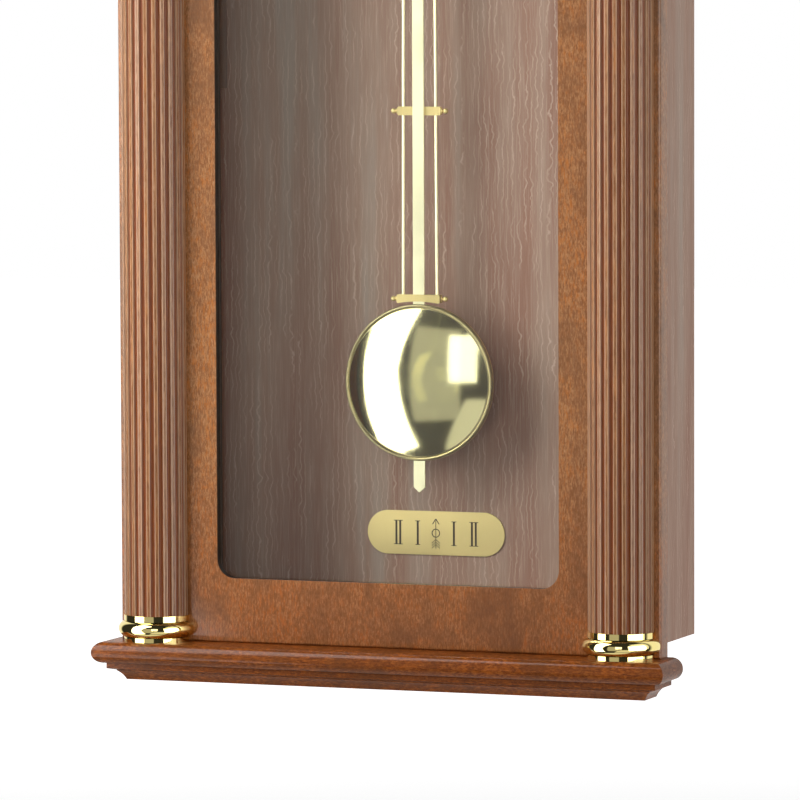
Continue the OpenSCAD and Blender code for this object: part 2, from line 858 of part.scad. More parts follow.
module cornice_moulding() {
    color([0.50, 0.28, 0.15]) translate([0, 0, door_top_z + ledge_t + strip_t + cove_h])
        mirror([0, 0, 1]) mitred() cove_section();
}

module catch_strike() {
    color([0.70, 0.70, 0.72])
        bar_y([catch_x, catch_z], door_back_y, seam - leaf_gap, strike_r);
}

// Dial

module dial_battens() {
    color([0.40, 0.29, 0.23]) difference() {
        for (x = [-inner_x, inner_x - batten_w])
            translate([x, board_back_y, batten_bottom_z])
                cube([batten_w, back_front_y - board_back_y, inner_top_z - batten_bottom_z]);
        board_screw_set();
    }
}

module dial_board() {
    color([0.50, 0.40, 0.34]) difference() {
        translate([-inner_x, board_front_y, board_bottom_z])
            cube([2 * inner_x, board_t, inner_top_z - board_bottom_z]);
        bar_y([0, dial_z], board_front_y - cut, board_t + 2 * cut, bush_hole_r);
        board_screw_set();
    }
}

module board_screw_set() {
    for (x = [-1, 1], z = [inner_top_z - board_screw_in, board_bottom_z + board_screw_in])
        translate([x * (inner_x - batten_w / 2), board_front_y, z])
            wood_screw(board_screw_r, board_screw_l);
}

module dial_plate() {
    color([0.93, 0.90, 0.80]) difference() {
        bar_y([0, dial_z], dial_front_y, dial_t, dial_r, $fn = 128);
        bar_y([0, dial_z], dial_front_y - cut, dial_t + 2 * cut, bush_hole_r);
    }
}

// A turned ring that laps over the edge of the dial plate
module dial_bezel() {
    lip_t = bezel_h - dial_t;
    round_r = lip_t / 2;
    color([0.86, 0.72, 0.36]) translate([0, board_front_y, dial_z]) rotate([90, 0, 0])
        rotate_extrude($fn = 128) {
            translate([dial_r, 0]) square([bezel_r - dial_r, dial_t]);
            translate([dial_r - bezel_lap, dial_t])
                square([bezel_r - dial_r + bezel_lap - round_r, lip_t]);
            translate([bezel_r - round_r, dial_t + round_r]) circle(round_r);
        }
}

module beat_plate() {
    color([0.84, 0.72, 0.42])
        along_y(back_front_y - beat_t, beat_t) translate([0, window_bottom_z + beat_up]) {
            translate([-(beat_w - beat_h) / 2, -beat_h / 2]) square([beat_w - beat_h, beat_h]);
            for (s = [-1, 1]) translate([s * (beat_w - beat_h) / 2, 0]) circle(beat_h / 2);
        }
}

// Hands, drawn pointing up and then turned clockwise to their hour

module hand(length, hub_r, bore_r, y0, angle) {
    spade_r = length / 13;
    spade_z = length * 0.72;
    point_z = spade_z + spade_r / 2;
    point_half = spade_r * 0.8;
    tail_z = -length / 5;
    translate([0, 0, dial_z]) rotate([0, angle, 0]) along_y(y0, hand_t) difference() {
        union() {
            circle(hub_r);
            polygon([[-1.2, tail_z], [1.2, tail_z], [1.6, 0], [0.9, spade_z], [-0.9, spade_z],
                [-1.6, 0]]);
            translate([0, spade_z]) circle(spade_r);
            polygon([[-point_half, point_z], [point_half, point_z], [0, length]]);
        }
        circle(bore_r);
    }
}

module minute_hand() {
    color([0.10, 0.09, 0.08])
        hand(minute_hand_l, minute_hub_r, arbor_tip_r, minute_hand_y, minute_angle);
}

module hour_hand() {
    color([0.10, 0.09, 0.08])
        hand(hour_hand_l, hour_hub_r, pipe_r, hour_hand_y, hour_angle);
}

module hand_nut() {
    color([0.86, 0.72, 0.36]) difference() {
        union() {
            bar_y([0, dial_z], minute_hand_y - hand_nut_t, hand_nut_t, hand_nut_r);
            translate([0, minute_hand_y - hand_nut_t, dial_z]) sphere(hand_nut_dome_r);
        }
        bar_y([0, dial_z], minute_hand_y - arbor_tip_l, arbor_tip_l + cut, arbor_tip_r);
    }
}

// Movement

module movement_front_case() {
    height = movement_up + movement_down;
    width = movement_left + movement_right;
    color([0.13, 0.13, 0.14]) difference() {
        union() {
            difference() {
                translate([-movement_left, board_back_y, dial_z - movement_down])
                    cube([width, movement_d, height]);
                translate([-movement_left + movement_wall, movement_y,
                        dial_z - movement_down + movement_wall])
                    cube([width - 2 * movement_wall, movement_d, height - 2 * movement_wall]);
            }
            bar_y([0, dial_z], bush_end_y, movement_y - bush_end_y, bush_r);
            translate([bay_wall_x, movement_y, dial_z - movement_down + movement_wall])
                cube([bay_wall_t, movement_d - movement_wall, height - 2 * movement_wall]);
            for (at = circuit_posts) bar_y(at, movement_y, circuit_y - movement_y, post_r);
            for (at = plate_posts) bar_y(at, movement_y, plate_y - movement_y, post_r);
            for (at = stator_posts)
                bar_y(at, movement_y, stator_y - movement_y, stator_post_r);
        }
        bar_y([0, dial_z], bush_end_y - cut, movement_y - bush_end_y + 2 * cut,
            pipe_r + running_gap);
        for (at = [minute_axis, third_axis, second_axis, rotor_axis])
            bar_y([at[0], dial_z + at[1]], pivot_y - 0.1, movement_wall,
                pivot_r + running_gap);
        translate([-lever_slot_w / 2, lever_y - cut, dial_z - movement_down - cut])
            cube([lever_slot_w, lever_t + 2 * cut, movement_wall + 2 * cut]);
    }
}

// Carries the rear pivots of the wheels and the lever pin
module movement_middle_plate() {
    color([0.85, 0.85, 0.82]) difference() {
        translate([-movement_left + movement_wall, plate_y, dial_z - plate_down])
            cube([bay_wall_x + movement_left - movement_wall, plate_t,
                plate_down + movement_up - movement_wall]);
        bar_y([0, dial_z], plate_y - cut, plate_t + 2 * cut, arbor_pivot_r + running_gap);
        for (at = [third_axis, second_axis, rotor_axis])
            bar_y([at[0], dial_z + at[1]], plate_y - cut, plate_t + 2 * cut,
                pivot_r + running_gap);
        bar_y([minute_axis[0], dial_z + minute_axis[1]], plate_y - cut, plate_t + 2 * cut,
            stem_r + running_gap);
    }
}

// The cover leaves the battery bay open and lets the setting stem through
module movement_back_cover() {
    color([0.13, 0.13, 0.14]) difference() {
        translate([-movement_left, cover_y, dial_z - movement_down])
            cube([movement_left + movement_right, cover_t, movement_up + movement_down]);
        translate([battery_x - bay_half_w, cover_y - cut, battery_z - bay_half_h])
            cube([2 * bay_half_w, cover_t + 2 * cut, 2 * bay_half_h]);
        bar_y([minute_axis[0], dial_z + minute_axis[1]], cover_y - cut, cover_t + 2 * cut,
            stem_r + running_gap);
    }
}

// Washer and hexagon nut that clamp the dial and the board to the movement
module movement_nut() {
    color([0.86, 0.72, 0.36]) difference() {
        union() {
            bar_y([0, dial_z], dial_front_y - washer_t, washer_t, washer_r);
            along_y(dial_front_y - washer_t - nut_t, nut_t)
                translate([0, dial_z]) circle(nut_r, $fn = 6);
        }
        bar_y([0, dial_z], bush_end_y, dial_front_y - bush_end_y + cut, bush_r);
    }
}

module circuit_board() {
    color([0.20, 0.35, 0.18]) {
        translate([circuit_left, circuit_y, circuit_bottom_z])
            cube([bay_wall_x - circuit_gap - circuit_left, circuit_t, circuit_h]);
        translate([circuit_left + chip_in, circuit_y + circuit_t,
                circuit_bottom_z + chip_up])
            cube([chip_w, chip_t, chip_w]);
    }
}

module drive_coil() {
    coil_front_y = circuit_y + circuit_t;
    color([0.72, 0.42, 0.22]) difference() {
        bar_y([0, magnet_z], coil_front_y, coil_back_y - coil_front_y, coil_r);
        bar_y([0, magnet_z], coil_front_y - cut, coil_back_y - coil_front_y + 2 * cut,
            coil_bore_r);
    }
}

// A wound bobbin on its iron core, beside the wheels
module stepper_coil() {
    color([0.72, 0.42, 0.22]) translate([stepper_x, stepper_y, dial_z]) {
        translate([0, 0, stepper_flange_t / 2])
            cylinder(h = stepper_l - stepper_flange_t, r = stepper_r);
        for (z = [0, stepper_l - stepper_flange_t]) translate([0, 0, z])
            cylinder(h = stepper_flange_t, r = stepper_flange_r);
    }
}

module stepper_stator() {
    left = rotor_axis[0] - stator_left;
    color([0.60, 0.60, 0.62]) along_y(stator_y, stator_t) difference() {
        translate([left, dial_z + rotor_axis[1] - stator_low])
            square([bay_wall_x - stator_gap - left, stator_h]);
        translate([rotor_axis[0], dial_z + rotor_axis[1]]) circle(rotor_r + move_gap);
    }
}

module stepper_rotor() {
    at = [rotor_axis[0], dial_z + rotor_axis[1]];
    color([0.45, 0.45, 0.47]) {
        bar_y(at, pivot_y, pivot_l, pivot_r);
        bar_y(at, stator_y - 0.3, stator_t + 0.6, rotor_r);
        bar_y(at, second_gear_y - pinion_lead, pinion_t, rotor_pinion_r);
    }
}

module battery() {
    color([0.20, 0.22, 0.26]) translate([battery_x, battery_y, battery_z]) {
        translate([0, 0, -battery_l / 2])
            cylinder(h = battery_l - terminal_h, r = battery_r);
        cylinder(h = battery_l / 2, r = terminal_r);
    }
}

// Plates against the ends of the battery, in the bay
module battery_contacts() {
    color([0.75, 0.75, 0.75])
        for (z = [battery_z - battery_l / 2 - contact_t, battery_z + battery_l / 2])
            translate([battery_x - contact_w / 2, movement_y, z])
                cube([contact_w, movement_d - movement_wall - 1, contact_t]);
}

module lever_pin() {
    pin_y = plate_y + plate_t;
    color([0.75, 0.75, 0.78]) bar_y([0, pivot_z], pin_y, cover_y - pin_y, lever_pin_r);
}

// The minute arbor with its cannon pinion and the centre wheel
module centre_wheel() {
    color([0.82, 0.70, 0.40]) {
        bar_y([0, dial_z], minute_hand_y + hand_t, plate_y - minute_hand_y - hand_t - 0.3,
            arbor_r);
        bar_y([0, dial_z], minute_hand_y - arbor_tip_l, arbor_tip_l + hand_t + cut,
            arbor_tip_r);
        bar_y([0, dial_z], plate_y - cut, plate_t + cut, arbor_pivot_r);
        gear([0, dial_z], cannon_y, gear_t + 0.5, cannon_n, minute_axis_dir);
        gear([0, dial_z], centre_gear_y, thin_gear_t, centre_n, third_axis_dir);
    }
}

// The hour wheel and its pipe through the bush
module hour_wheel() {
    color([0.90, 0.88, 0.80]) difference() {
        union() {
            gear([0, dial_z], hour_gear_y, gear_t, hour_n, minute_axis_dir + 180 / hour_n);
            bar_y([0, dial_z], hour_hand_y, hour_gear_y - hour_hand_y, pipe_r);
        }
        bar_y([0, dial_z], hour_hand_y - cut, hour_gear_y + gear_t - hour_hand_y + 2 * cut,
            arbor_r + running_gap);
    }
}

// The minute wheel, its pinion and the stem that carries the setting knob
module minute_wheel() {
    at = [minute_axis[0], dial_z + minute_axis[1]];
    color([0.90, 0.88, 0.80]) {
        gear(at, minute_gear_y, gear_t, minute_n, minute_axis_dir + 180 + 180 / minute_n);
        gear(at, hour_gear_y, gear_t + 0.7, minute_pinion_n, minute_axis_dir + 180);
        bar_y(at, pivot_y, minute_gear_y - pivot_y + cut, pivot_r);
        bar_y(at, minute_gear_y, knob_y - minute_gear_y, stem_r);
        bar_y(at, knob_y - cut, knob_bore + cut, stub_r);
    }
}

module setting_knob() {
    at = [minute_axis[0], dial_z + minute_axis[1]];
    color([0.85, 0.85, 0.82]) difference() {
        along_y(knob_y, knob_h) translate(at) difference() {
            circle(knob_r);
            for (k = [1 : knurl_n])
                rotate(k * 360 / knurl_n) translate([knob_r, 0]) circle(knurl_r);
        }
        bar_y(at, knob_y - cut, knob_bore + cut, stub_r);
    }
}

module third_wheel() {
    at = [third_axis[0], dial_z + third_axis[1]];
    color([0.82, 0.70, 0.40]) {
        gear(at, centre_gear_y - pinion_lead, pinion_t, small_pinion_n,
            third_axis_dir + 180 + 180 / small_pinion_n);
        gear(at, third_gear_y, thin_gear_t, third_n, second_axis_dir);
        bar_y(at, pivot_y, pivot_l, pivot_r);
    }
}

module second_wheel() {
    at = [second_axis[0], dial_z + second_axis[1]];
    color([0.82, 0.70, 0.40]) {
        gear(at, third_gear_y - pinion_lead, pinion_t, small_pinion_n,
            second_axis_dir + 180 + 180 / small_pinion_n);
        gear(at, second_gear_y, thin_gear_t, second_n, 0);
        bar_y(at, pivot_y, pivot_l, pivot_r);
    }
}

// Pendulum

// The driven lever hangs on the pin and carries the rod on a headed peg
module pendulum_lever() {
    peg_l = rod_y + rod_t + 0.3 - lever_y - lever_t;
    color([0.88, 0.87, 0.82]) {
        along_y(lever_y, lever_t) difference() {
            union() {
                translate([0, pivot_z]) circle(lever_head_r);
                translate([-lever_w / 2, peg_z]) square([lever_w, pivot_z - peg_z]);
                translate([0, peg_z]) circle(lever_w / 2);
            }
            translate([0, pivot_z]) circle(lever_pin_r + running_gap);
        }
        bar_y([0, peg_z], lever_y + lever_t, peg_l, peg_r);
        bar_y([0, peg_z], lever_y + lever_t + peg_l, peg_head_t, peg_head_r);
    }
}

module lever_magnet() {
    color([0.40, 0.40, 0.42]) bar_y([0, magnet_z], lever_y - magnet_t, magnet_t, magnet_r);
}

// Flat rod with a round top on the peg and a pointed foot
module rod_blank() {
    tip_z = bob_z - rod_tip;
    along_y(rod_y, rod_t) {
        polygon([[-rod_w / 2, peg_z], [rod_w / 2, peg_z], [rod_w / 2, tip_z + rod_point],
            [0, tip_z], [-rod_w / 2, tip_z + rod_point]]);
    }
    bar_y([0, peg_z], rod_y, rod_t, rod_eye_r);
}

module pendulum_rod() {
    color([0.86, 0.74, 0.42]) difference() {
        rod_blank();
        bar_y([0, peg_z], rod_y - cut, rod_t + 2 * cut, peg_r);
    }
}

// Two thin rods that draw together a little towards the top
module side_rod_pair() {
    length = 2 * crossbar_step - crossbar_h + 2 * side_rod_sunk;
    for (s = [-1, 1])
        translate([s * side_rod_low, side_rod_y, crossbar_low_z])
            rotate([0, -s * side_rod_tilt, 0])
                translate([0, 0, crossbar_h / 2 - side_rod_sunk])
                    cylinder(h = length, r = side_rod_r, $fn = 24);
}

module pendulum_side_rods() {
    color([0.86, 0.74, 0.42]) side_rod_pair();
}

// A turned neck, collar and ball, standing on Z = 0 and rooted below it
module finial() {
    rotate_extrude($fn = 32) {
        translate([0, -finial_root]) square([finial_neck_r, finial_root + finial_neck_l + 0.4]);
        translate([0, (finial_neck_l - finial_collar_t) / 2])
            square([finial_collar_r, finial_collar_t]);
        intersection() {
            translate([0, finial_neck_l + finial_r]) circle(finial_r);
            translate([0, finial_neck_l]) square([finial_r, 2 * finial_r]);
        }
    }
}

// A bar with a finial at each end, from y0 back over a depth. Its lower edge is hollowed
// by "arch".
module crossbar(z, y0, depth, arch) {
    half_w = crossbar_w / 2;
    arch_x = half_w - crossbar_end_r;
    arch_r = arch > 0 ? (arch_x * arch_x + arch * arch) / (2 * arch) : 0;
    along_y(y0, depth) translate([0, z]) difference() {
        rounded_window(half_w, -crossbar_h / 2, crossbar_h / 2, crossbar_end_r);
        if (arch > 0) translate([0, arch - crossbar_h / 2 - arch_r]) circle(arch_r, $fn = 256);
    }
    for (s = [-1, 1])
        translate([s * half_w, y0 + depth / 2, z]) rotate([0, s * 90, 0]) finial();
}

// The lowest bar lies in front of the rods, the others behind the centre rod
module pendulum_crossbars() {
    back_y = rod_y + rod_t + crossbar_t;
    front_y = rod_y - crossbar_front_lip;
    color([0.86, 0.74, 0.42]) difference() {
        union() {
            for (k = [1, 2])
                crossbar(crossbar_low_z + k * crossbar_step, rod_y + rod_t, crossbar_t, 0);
            crossbar(crossbar_low_z, front_y, back_y - front_y, crossbar_arch);
        }
        rod_blank();
        side_rod_pair();
    }
}

// A domed shell with a flat ring and a rounded rim: "rise" is the height of the dome
// over the ring, and the dome points towards -Z
module bob_shell(rise) {
    dome_r = bob_r - bob_rim_w;
    sphere_r = (dome_r * dome_r + rise * rise) / (2 * rise);
    inner_r = dome_r - 3 * bob_wall;
    rim_r = bob_rim_w / 2;
    rotate_extrude($fn = 128) {
        translate([inner_r, -bob_rim_t]) square([bob_r - inner_r, bob_rim_t]);
        translate([bob_r - rim_r - 0.1, -bob_rim_t]) circle(rim_r);
        intersection() {
            translate([0, -bob_rim_t - rise]) square([dome_r, rise + bob_rim_t / 2]);
            translate([0, sphere_r - rise - bob_rim_t]) difference() {
                circle(sphere_r, $fn = 256);
                circle(sphere_r - bob_wall, $fn = 256);
            }
        }
    }
}

module bob_front() {
    color([0.88, 0.76, 0.42]) difference() {
        translate([0, rod_mid_y, bob_z]) rotate([-90, 0, 0]) bob_shell(bob_front_h);
        rod_blank();
    }
}

module bob_back() {
    color([0.78, 0.68, 0.40]) difference() {
        translate([0, rod_mid_y, bob_z]) rotate([90, 0, 0]) bob_shell(bob_back_h);
        rod_blank();
    }
}

side_panel_left();
side_panel_right();
top_panel();
bottom_panel();
back_panel();
hanging_rail();
dial_battens();
dial_board();
dial_plate();
dial_bezel();
beat_plate();
keyhole_plate();
wall_bumpers();
catch_magnet();
hinge_case_leaves();
hinge_pins();
case_screws();
movement_front_case();
movement_middle_plate();
movement_back_cover();
movement_nut();
circuit_board();
drive_coil();
stepper_coil();
stepper_stator();
stepper_rotor();
battery();
battery_contacts();
lever_pin();
door_frame();
window_glass();
glass_beads();
column_left();
column_right();
column_bases();
column_caps();
base_board();
base_moulding();
cornice_board();
cornice_moulding();
hinge_door_leaves();
hinge_door_screws();
catch_strike();
pendulum_lever();
lever_magnet();
pendulum_rod();
pendulum_side_rods();
pendulum_crossbars();
bob_front();
bob_back();
minute_hand();
hand_nut();
centre_wheel();
hour_hand();
hour_wheel();
minute_wheel();
setting_knob();
third_wheel();
second_wheel();
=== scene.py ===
"""Looks of a pendulum wall clock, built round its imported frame.

Everything is in metres. X runs to the right, Y into the wall and Z up, and the origin is
the keyhole on the wall plane.
"""
import math

import bmesh
import bpy
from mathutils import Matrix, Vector


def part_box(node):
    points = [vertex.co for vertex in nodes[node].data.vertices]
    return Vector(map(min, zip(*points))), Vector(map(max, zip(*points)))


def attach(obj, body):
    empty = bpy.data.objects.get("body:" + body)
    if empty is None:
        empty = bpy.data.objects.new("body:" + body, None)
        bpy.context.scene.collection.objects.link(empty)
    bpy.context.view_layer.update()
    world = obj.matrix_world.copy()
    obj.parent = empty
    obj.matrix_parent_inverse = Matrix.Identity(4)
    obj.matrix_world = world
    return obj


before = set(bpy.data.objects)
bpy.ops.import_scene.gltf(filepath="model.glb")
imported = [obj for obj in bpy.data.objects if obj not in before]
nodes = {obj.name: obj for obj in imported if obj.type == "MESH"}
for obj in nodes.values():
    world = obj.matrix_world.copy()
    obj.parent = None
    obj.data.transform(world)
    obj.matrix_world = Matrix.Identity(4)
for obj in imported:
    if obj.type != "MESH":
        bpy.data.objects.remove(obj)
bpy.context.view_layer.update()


def srgb(red, green, blue):
    """A colour given from 0 to 255, as linear values."""
    linear = []
    for value in (red, green, blue):
        share = value / 255
        linear.append(share / 12.92 if share <= 0.04045 else ((share + 0.055) / 1.055) ** 2.4)
    return (*linear, 1.0)


# Camera, whose lens and sensor are in millimetres

CAMERA_AZIMUTH = math.radians(21.0)
CAMERA_ELEVATION = math.radians(3.9)
CAMERA_ROLL = math.radians(-0.22)
CAMERA_DISTANCE = 2.82
CAMERA_REACH = 50.0
CAMERA_LENS = 253.8
CAMERA_SENSOR = 36.0
CAMERA_TARGET = Vector((0.0079, -0.0783, -0.4547))


def direction(azimuth, elevation):
    """The unit vector towards a place, with azimuth from the front towards the right."""
    level = math.cos(elevation)
    return Vector((
        math.sin(azimuth) * level,
        -math.cos(azimuth) * level,
        math.sin(elevation),
    ))


def aim(thing, target):
    """Turns a camera or a lamp towards a point."""
    gaze = target - thing.location
    thing.rotation_euler = gaze.to_track_quat("-Z", "Y").to_euler()


def add_camera():
    """Looks at the lower half of the clock from its right and a little above."""
    data = bpy.data.cameras.new("camera")
    data.lens = CAMERA_LENS
    data.sensor_width = CAMERA_SENSOR
    data.clip_end = CAMERA_REACH
    camera = bpy.data.objects.new("camera", data)
    bpy.context.scene.collection.objects.link(camera)
    towards = direction(CAMERA_AZIMUTH, CAMERA_ELEVATION)
    camera.location = CAMERA_TARGET + towards * CAMERA_DISTANCE
    aim(camera, CAMERA_TARGET)
    camera.rotation_euler.rotate_axis("Z", CAMERA_ROLL)
    bpy.context.scene.camera = camera


add_camera()


# Lamps

# The middle of the bob, at which every lamp aims
BOB_PLACE = Vector((0.0, -0.04, -0.449))
# Name, azimuth and elevation in degrees, distance, width, height, radiance and role
SOFTBOXES = (
    ("left_upper_softbox", -46, 33, 0.95, 0.53, 1.06, 7.0, "lamp"),
    ("left_lower_screen", -46, -20, 0.95, 0.53, 0.84, 4.4, "screen"),
    ("front_softbox", 11, 12, 3.6, 1.15, 1.9, 2.2, "lamp"),
    ("right_softbox", 80, 22, 2.2, 1.8, 3.0, 0.95, "lamp"),
    ("right_screen", 66, 4, 2.4, 2.4, 2.8, 3.4, "screen"),
    ("low_fill", -5, -50, 1.2, 1.4, 0.7, 1.3, "fill"),
)


def add_softbox(name, azimuth, elevation, distance, width, height, radiance, role):
    """A flat lamp of even brightness that faces the bob. A screen shows only as a
    reflection, a fill only lights, and a lamp does both."""
    data = bpy.data.lights.new(name, "AREA")
    data.shape = "RECTANGLE"
    data.size = width
    data.size_y = height
    data.energy = radiance * math.pi * width * height
    lamp = bpy.data.objects.new(name, data)
    bpy.context.scene.collection.objects.link(lamp)
    towards = direction(math.radians(azimuth), math.radians(elevation))
    lamp.location = BOB_PLACE + towards * distance
    aim(lamp, BOB_PLACE)
    lamp.visible_camera = False
    lamp.visible_diffuse = role != "screen"
    lamp.visible_glossy = role != "fill"
    lamp.visible_transmission = role != "fill"


for softbox in SOFTBOXES:
    add_softbox(*softbox)


class Tree:
    """A node tree, with short ways to add nodes and join them."""

    # Places of the colour sockets on a Mix node
    MIX_FIRST = 6
    MIX_SECOND = 7
    MIX_RESULT = 2

    def __init__(self, tree):
        self.tree = tree

    def add(self, kind, inputs=None, **settings):
        """Adds a node. An input is a value, or a socket or node whose output it takes."""
        node = self.tree.nodes.new("ShaderNode" + kind)
        for name, value in settings.items():
            setattr(node, name, value)
        for name, value in (inputs or {}).items():
            self.set(node.inputs[name], value)
        return node

    def set(self, socket, value):
        """Gives a socket a value, or joins it to another socket or to a node."""
        if isinstance(value, bpy.types.Node):
            value = value.outputs[0]
        if isinstance(value, bpy.types.NodeSocket):
            self.tree.links.new(value, socket)
        else:
            socket.default_value = value

    def math(self, operation, first, second=0.0, third=0.0):
        """A Math node on up to three values."""
        return self.add("Math", {0: first, 1: second, 2: third}, operation=operation)

    def axes(self):
        """The X, Y and Z sockets of the object's own coordinates."""
        place = self.add("TexCoord").outputs["Object"]
        return self.add("SeparateXYZ", {0: place}).outputs

    def radius(self, first, second):
        """The distance from an axis, from two coordinates square to it."""
        square = self.math("MULTIPLY_ADD", first, first, self.math("MULTIPLY", second, second))
        return self.math("SQRT", square)

    def ramp(self, value, stops):
        """A colour ramp of (place, colour) stops."""
        node = self.add("ValToRGB", {0: value})
        elements = node.color_ramp.elements
        while len(elements) < len(stops):
            elements.new(0.5)
        for element, (place, colour) in zip(elements, stops):
            element.position = place
            element.color = colour
        return node

    def span(self, value, low, high, to_low=0.0, to_high=1.0):
        """Maps one range of values onto another and stops at its ends."""
        inputs = {0: value, 1: low, 2: high, 3: to_low, 4: to_high}
        return self.add("MapRange", inputs, clamp=True)

    def between(self, value, low, high, soft):
        """1 between two values and 0 outside them, with soft edges."""
        rise = self.span(value, low - soft, low + soft)
        fall = self.span(value, high - soft, high + soft, 1.0, 0.0)
        return self.math("MULTIPLY", rise, fall)

    def mix(self, factor, first, second, blend="MIX"):
        """Two colours mixed by a factor."""
        node = self.add("Mix", data_type="RGBA", blend_type=blend)
        self.set(node.inputs["Factor"], factor)
        self.set(node.inputs[self.MIX_FIRST], first)
        self.set(node.inputs[self.MIX_SECOND], second)
        return node.outputs[self.MIX_RESULT]


# Surroundings

WHITE = (1, 1, 1, 1)
STUDIO_TINT = (1, 0.98, 0.94, 1)
STUDIO_DARK = 0.03
# Where the dark room turns white, as a share of a ray's direction along Y and Z
WHITE_BEHIND = (0.28, 0.45)
WHITE_BELOW = (-0.86, -0.76)
BELOW_LEVEL = 0.85
# Least and most azimuth, least and most elevation in degrees, and brightness of a panel
FRONT_PANEL = (-23.5, 9, -26, 30, 0.46)
SIDE_PANEL = (20, 75, -47, -13, 0.75)
PANEL_EDGE = math.radians(1.2)
# How far the side panel leans to the right, as azimuth for each part of elevation
SIDE_PANEL_LEAN = 0.587
# Plain light from all round, by a ray's direction along X
FILL_TURN = (-0.3, 0.9)
FILL_LEFT = 0.16
FILL_RIGHT = 0.38


def studio_panel(tree, azimuth, elevation, panel):
    """A pale panel of the studio with soft edges."""
    left, right, low, high = [math.radians(angle) for angle in panel[:4]]
    shape = tree.math("MULTIPLY",
                      tree.between(azimuth, left, right, PANEL_EDGE),
                      tree.between(elevation, low, high, PANEL_EDGE))
    return tree.math("MULTIPLY", shape, panel[4])


def studio_level(tree, axes):
    """What metal and glass mirror: white behind the clock and below it, a dark room before
    it, and two pale panels in that room."""
    x, y, z = axes.outputs
    azimuth = tree.math("ARCTAN2", x, tree.math("MULTIPLY", y, -1.0))
    elevation = tree.math("ARCSINE", z)
    leaning = tree.math("MULTIPLY_ADD", elevation, -SIDE_PANEL_LEAN, azimuth)
    behind = tree.span(y, *WHITE_BEHIND, STUDIO_DARK, 1.0)
    below = tree.span(z, *WHITE_BELOW, BELOW_LEVEL, STUDIO_DARK)
    level = tree.math("MAXIMUM", behind, below)
    level = tree.math("MAXIMUM", level, studio_panel(tree, azimuth, elevation, FRONT_PANEL))
    return tree.math("MAXIMUM", level, studio_panel(tree, leaning, elevation, SIDE_PANEL))


def build_world():
    """White to the camera, also through glass. Other rays see the studio."""
    world = bpy.data.worlds.new("world")
    bpy.context.scene.world = world
    world.use_nodes = True
    world.node_tree.nodes.clear()
    tree = Tree(world.node_tree)
    rays = tree.add("LightPath")
    axes = tree.add("SeparateXYZ", {0: tree.add("TexCoord").outputs["Generated"]})
    fill = tree.span(axes.outputs["X"], *FILL_TURN, FILL_LEFT, FILL_RIGHT)
    ambient = tree.add("Background", {"Color": WHITE, "Strength": fill})
    backdrop = tree.add("Background", {"Color": WHITE, "Strength": 1.0})
    studio = tree.add("Background", {"Color": STUDIO_TINT, "Strength": studio_level(tree, axes)})
    bounces = tree.math("ADD", rays.outputs["Glossy Depth"], rays.outputs["Diffuse Depth"])
    straight = tree.math("MULTIPLY", rays.outputs["Is Transmission Ray"],
                         tree.math("LESS_THAN", bounces, 0.5))
    seen = tree.math("MAXIMUM", rays.outputs["Is Camera Ray"], straight)
    mirrored = tree.add("MixShader", {0: rays.outputs["Is Glossy Ray"], 1: ambient, 2: studio})
    shown = tree.add("MixShader", {0: seen, 1: mirrored, 2: backdrop})
    tree.add("OutputWorld", {"Surface": shown})


build_world()


def new_material(name, **sockets):
    """A material with its tree and its Principled shader, whose plain values are set here."""
    material = bpy.data.materials.new(name)
    material.use_nodes = True
    tree = Tree(material.node_tree)
    shader = material.node_tree.nodes["Principled BSDF"]
    for key, value in sockets.items():
        shader.inputs[key.replace("_", " ")].default_value = value
    return material, tree, shader


FLOOR_Z = -0.86
FLOOR_HALF = 9.0
FLOOR_GREY = (0.8, 0.8, 0.8, 1)
# Over these distances from the middle the floor's glow rises from faint to white
GLOW_REACH = (0.5, 2.2)
GLOW_FAINT = 0.3


def build_floor():
    """A pale floor under the clock, which fades to plain white further away. Metal looks
    through it into the studio, whose lower part is white as well."""
    mesh = bpy.data.meshes.new("floor")
    corners = [(-FLOOR_HALF, -FLOOR_HALF, 0), (FLOOR_HALF, -FLOOR_HALF, 0),
               (FLOOR_HALF, FLOOR_HALF, 0), (-FLOOR_HALF, FLOOR_HALF, 0)]
    mesh.from_pydata(corners, [], [(0, 1, 2, 3)])
    floor = bpy.data.objects.new("floor", mesh)
    floor.location = (0, 0, FLOOR_Z)
    bpy.context.scene.collection.objects.link(floor)
    material, tree, shader = new_material("pale_floor", Roughness=0.9, Base_Color=FLOOR_GREY,
                                          Specular_IOR_Level=0.0)
    rays = tree.add("LightPath")
    place = tree.add("TexCoord").outputs["Object"]
    reach = tree.add("VectorMath", {0: place}, operation="LENGTH").outputs["Value"]
    level = tree.span(reach, *GLOW_REACH, GLOW_FAINT, 1.0)
    seen = tree.math("MAXIMUM", rays.outputs["Is Camera Ray"],
                     rays.outputs["Is Transmission Ray"])
    glow = tree.add("Emission", {"Strength": tree.math("MULTIPLY", level, seen)})
    lit = tree.add("AddShader", {0: shader, 1: glow})
    beyond = tree.add("BsdfTransparent")
    both = tree.add("MixShader", {0: rays.outputs["Is Glossy Ray"], 1: lit, 2: beyond})
    output = material.node_tree.nodes["Material Output"]
    tree.set(output.inputs["Surface"], both)
    mesh.materials.append(material)


build_floor()


# Grain directions, as how fast a pattern changes along each axis

EVEN = (1.0, 1.0, 1.0)
TALL = (1.0, 1.0, 0.5)
MOTTLED = (1.0, 1.0, 0.28)
BROKEN = (1.0, 1.0, 0.2)
UPRIGHT = (1.0, 1.0, 0.1)
BANDED = (1.0, 1.0, 0.05)
WAVY = (1.0, 1.0, 0.045)
STREAKED = (1.0, 1.0, 0.03)
LEVEL = (0.3, 0.3, 1.0)
WIDE = (0.6, 0.6, 1.0)
BRUSHED = (0.06, 1.0, 1.0)


